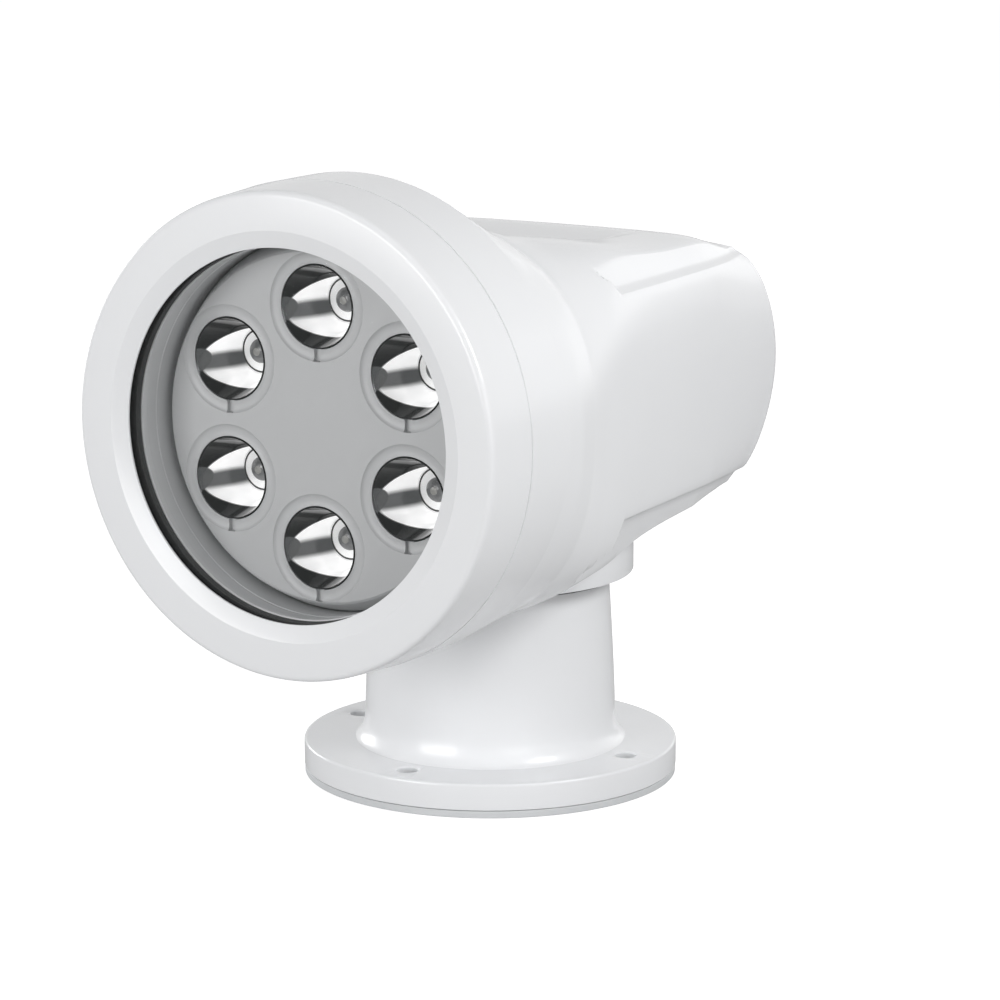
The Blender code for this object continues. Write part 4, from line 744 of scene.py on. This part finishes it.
# cups: a mirrored parabola, open at the back round its emitter
CUP_MOUTH, CUP_DEPTH, THROAT, MOUTH = 131.3, 22.6, 8.9, 16.2
CUP_BACK = CUP_MOUTH - CUP_DEPTH


def cup_z(radius):
    return CUP_BACK + CUP_DEPTH * (radius ** 2 - THROAT ** 2) / (MOUTH ** 2 - THROAT ** 2)


inner = [THROAT + (MOUTH - THROAT) * i / 30 for i in range(31)]
cup = turned([(r, cup_z(r)) for r in inner]
             + [(16.5, CUP_MOUTH + 0.05), (16.8, CUP_MOUTH - 0.3), (16.8, CUP_MOUTH - 4.5)]
             + [(r + 1.05, cup_z(r) - 0.3) for r in inner[-6::-5]] + [(THROAT + 0.9, CUP_BACK)], 96)
front_view = cup.uv_layers.new(name="front_view")
for loop in cup.loops:
    x, y, z = cup.vertices[loop.vertex_index].co
    front_view.data[loop.index].uv = (x, y)
RING_OF_SIX = {"Count": 6, "Radius": CUP_CIRCLE, "Start": (0.0, 0.0, math.pi / 2)}
cups = patterned(cup, RING, {**RING_OF_SIX, "Finish": MIRROR})
piece("mirror_cups", place(cups, FORWARD), None, "optics",
      [f"reflector_{i}" for i in range(1, 7)], 40)

# LED board with six packages
BOARD_FRONT = CUP_BACK - 0.3
board = turned(rounded([(0.0, BOARD_FRONT), (66.5, BOARD_FRONT), (66.5, BOARD_FRONT - 1.6),
                        (0.0, BOARD_FRONT - 1.6)], [0, 0.2, 0.2, 0]), 120)
piece("led_board_disc", place(board, FORWARD), FR4, "optics", ["led_board"])
package = turned(rounded([(0.0, BOARD_FRONT + 0.9), (8.3, BOARD_FRONT + 0.9),
                          (8.3, BOARD_FRONT + 0.02), (0.0, BOARD_FRONT + 0.02)],
                         [0, 0.2, 0, 0]), 64)
packages = patterned(package, RING, {**RING_OF_SIX, "Finish": CERAMIC})
piece("led_packages", place(packages, FORWARD), None, "optics", ())
groove = turned(rounded([(8.35, BOARD_FRONT + 1.0), (8.95, BOARD_FRONT + 1.0),
                         (8.95, BOARD_FRONT + 0.02), (8.35, BOARD_FRONT + 0.02)],
                        [0.1, 0.1, 0, 0]), 64)
grooves = patterned(groove, RING, {**RING_OF_SIX, "Finish": EPDM})
piece("led_seal_rings", place(grooves, FORWARD), None, "optics", ())
dome_profile = [(0.0, BOARD_FRONT + 4.3)]
dome_profile += [(5.0 * math.sin(a), BOARD_FRONT + 0.95 + 3.35 * math.cos(a))
                 for a in (math.pi / 2 * i / 14 for i in range(1, 15))]
dome_profile += [(0.0, BOARD_FRONT + 0.95)]
domes = patterned(turned(dome_profile, 64), RING, {**RING_OF_SIX, "Finish": DOME})
piece("led_domes", place(domes, FORWARD), None, "optics", (), 50)
chip = turned(rounded([(0.0, BOARD_FRONT + 4.55), (1.5, BOARD_FRONT + 4.4),
                       (1.7, BOARD_FRONT + 4.0), (0.0, BOARD_FRONT + 4.0)],
                      [0, 0.2, 0.1, 0]), 32)
chips = patterned(chip, RING, {**RING_OF_SIX, "Finish": PHOSPHOR})
piece("led_lens_tips", place(chips, FORWARD), None, "optics", (), 50)

# heat sink: turned plate with drawn fins
fin = box_mesh((2.2, 72.0, 35.0), (0.0, 0.0, 0.0), 0.5)
fins = patterned(fin, ROW, {"Count": 9, "Start": (-48.0, 0.0, BOARD_FRONT - 1.9 - 5.0 - 17.2),
                            "Pitch": (12.0, 0.0, 0.0), "Finish": CAST})
plate = turned(rounded([(0.0, BOARD_FRONT - 1.9), (64.0, BOARD_FRONT - 1.9),
                        (64.0, BOARD_FRONT - 6.9), (0.0, BOARD_FRONT - 6.9)],
                       [0, 0.5, 0.5, 0]), 120)
piece("heat_sink_plate", place(plate, FORWARD), CAST, "optics", ["heat_sink"])
piece("heat_sink_fins", place(fins, FORWARD), None, "optics", ())

# screws under the cover, each with a round drive socket
screw = turned([(0.0, 26.4), (2.0, 26.4), (2.0, 15.4), (3.4, 15.4), (3.4, 14.2), (3.0, 13.5),
                (1.6, 13.4), (1.6, 14.7), (0.0, 14.7)], 24)
screws = patterned(screw, RING, {"Count": 4, "Radius": 41.25, "Start": (0.0, 0.0, math.pi / 4),
                                 "Finish": STAINLESS})
piece("cover_screws", place(screws), None, "base", [f"cover_screw_{i}" for i in range(1, 5)])


# studio
def stage_material():
    """A white floor that takes the lamp's shadow and reads as white to the camera."""
    mat = bpy.data.materials.new("studio floor")
    mat.use_nodes = True
    tree = mat.node_tree
    tree.nodes.clear()
    path = add_node(tree, "ShaderNodeLightPath").outputs
    plain = add_node(tree, "ShaderNodeBsdfDiffuse", inputs={"Color": colour("#cccccc")})
    glow = add_node(tree, "ShaderNodeEmission", inputs={"Color": (1, 1, 1, 1), "Strength": 0.82})
    both = add_node(tree, "ShaderNodeAddShader")
    tree.links.new(plain.outputs[0], both.inputs[0])
    tree.links.new(glow.outputs[0], both.inputs[1])
    pick = add_node(tree, "ShaderNodeMixShader")
    tree.links.new(path["Is Camera Ray"], pick.inputs[0])
    tree.links.new(plain.outputs[0], pick.inputs[1])
    tree.links.new(both.outputs[0], pick.inputs[2])
    out = add_node(tree, "ShaderNodeOutputMaterial")
    tree.links.new(pick.outputs[0], out.inputs["Surface"])
    return mat


bm = bmesh.new()
bmesh.ops.create_grid(bm, x_segments=1, y_segments=1, size=30.0)
floor_mesh = mesh_of(bm, "floor")
floor_mesh.transform(Matrix.Translation((0, 0, -0.0002)))
floor_mesh.materials.append(stage_material())
floor = bpy.data.objects.new("studio_floor", floor_mesh)
bpy.context.scene.collection.objects.link(floor)


def softbox(name, at, aim, size, power):
    light = bpy.data.lights.new(name, "AREA")
    light.shape = "RECTANGLE"
    light.size, light.size_y = size
    light.energy = power
    obj = bpy.data.objects.new(name, light)
    obj.location = at
    obj.rotation_euler = (Vector(aim) - Vector(at)).to_track_quat("-Z", "Y").to_euler()
    bpy.context.scene.collection.objects.link(obj)


LAMP = (0.0, -0.02, 0.16)
softbox("key_high_right", (0.8, -0.09, 0.62), (0.05, 0.0, 0.19), (0.36, 0.3), 3.8)
softbox("wide_right", (1.75, -1.15, 0.34), LAMP, (0.9, 0.6), 4.0)
softbox("front_left_fill", (-0.6, -2.1, 0.35), LAMP, (1.3, 0.9), 23)
softbox("back_fill", (0.4, 2.1, 0.35), LAMP, (1.6, 1.1), 4)
softbox("left_fill", (-2.0, 0.45, 0.35), LAMP, (0.9, 0.7), 10)

world = bpy.data.worlds.new("studio")
bpy.context.scene.world = world
world.use_nodes = True
wt = world.node_tree
wt.nodes.clear()
path = add_node(wt, "ShaderNodeLightPath").outputs
clear = add_node(wt, "ShaderNodeMath", {"operation": "MAXIMUM"},
                 links={0: path["Is Camera Ray"], 1: path["Is Transmission Ray"]})
seen = add_node(wt, "ShaderNodeMath", {"operation": "MAXIMUM"},
                links={0: clear.outputs[0], 1: path["Is Glossy Ray"]})
dim = add_node(wt, "ShaderNodeBackground", inputs={"Color": colour("#f8f8f9"), "Strength": 0.35})
white = add_node(wt, "ShaderNodeBackground", inputs={"Color": (1, 1, 1, 1), "Strength": 1.0})
pick = add_node(wt, "ShaderNodeMixShader")
wt.links.new(seen.outputs[0], pick.inputs[0])
wt.links.new(dim.outputs[0], pick.inputs[1])
wt.links.new(white.outputs[0], pick.inputs[2])
out = add_node(wt, "ShaderNodeOutputWorld")
wt.links.new(pick.outputs[0], out.inputs["Surface"])

camera = bpy.data.cameras.new("camera")
camera.sensor_width = 36.0
camera.lens = 135.72
eye = bpy.data.objects.new("camera", camera)
eye.location = (0.81168, -1.34645, 0.44234)
eye.rotation_euler = (math.radians(90 - 11.68), 0.0, math.radians(30.93))
bpy.context.scene.collection.objects.link(eye)
bpy.context.scene.camera = eye
bpy.context.scene.view_settings.view_transform = "Standard"
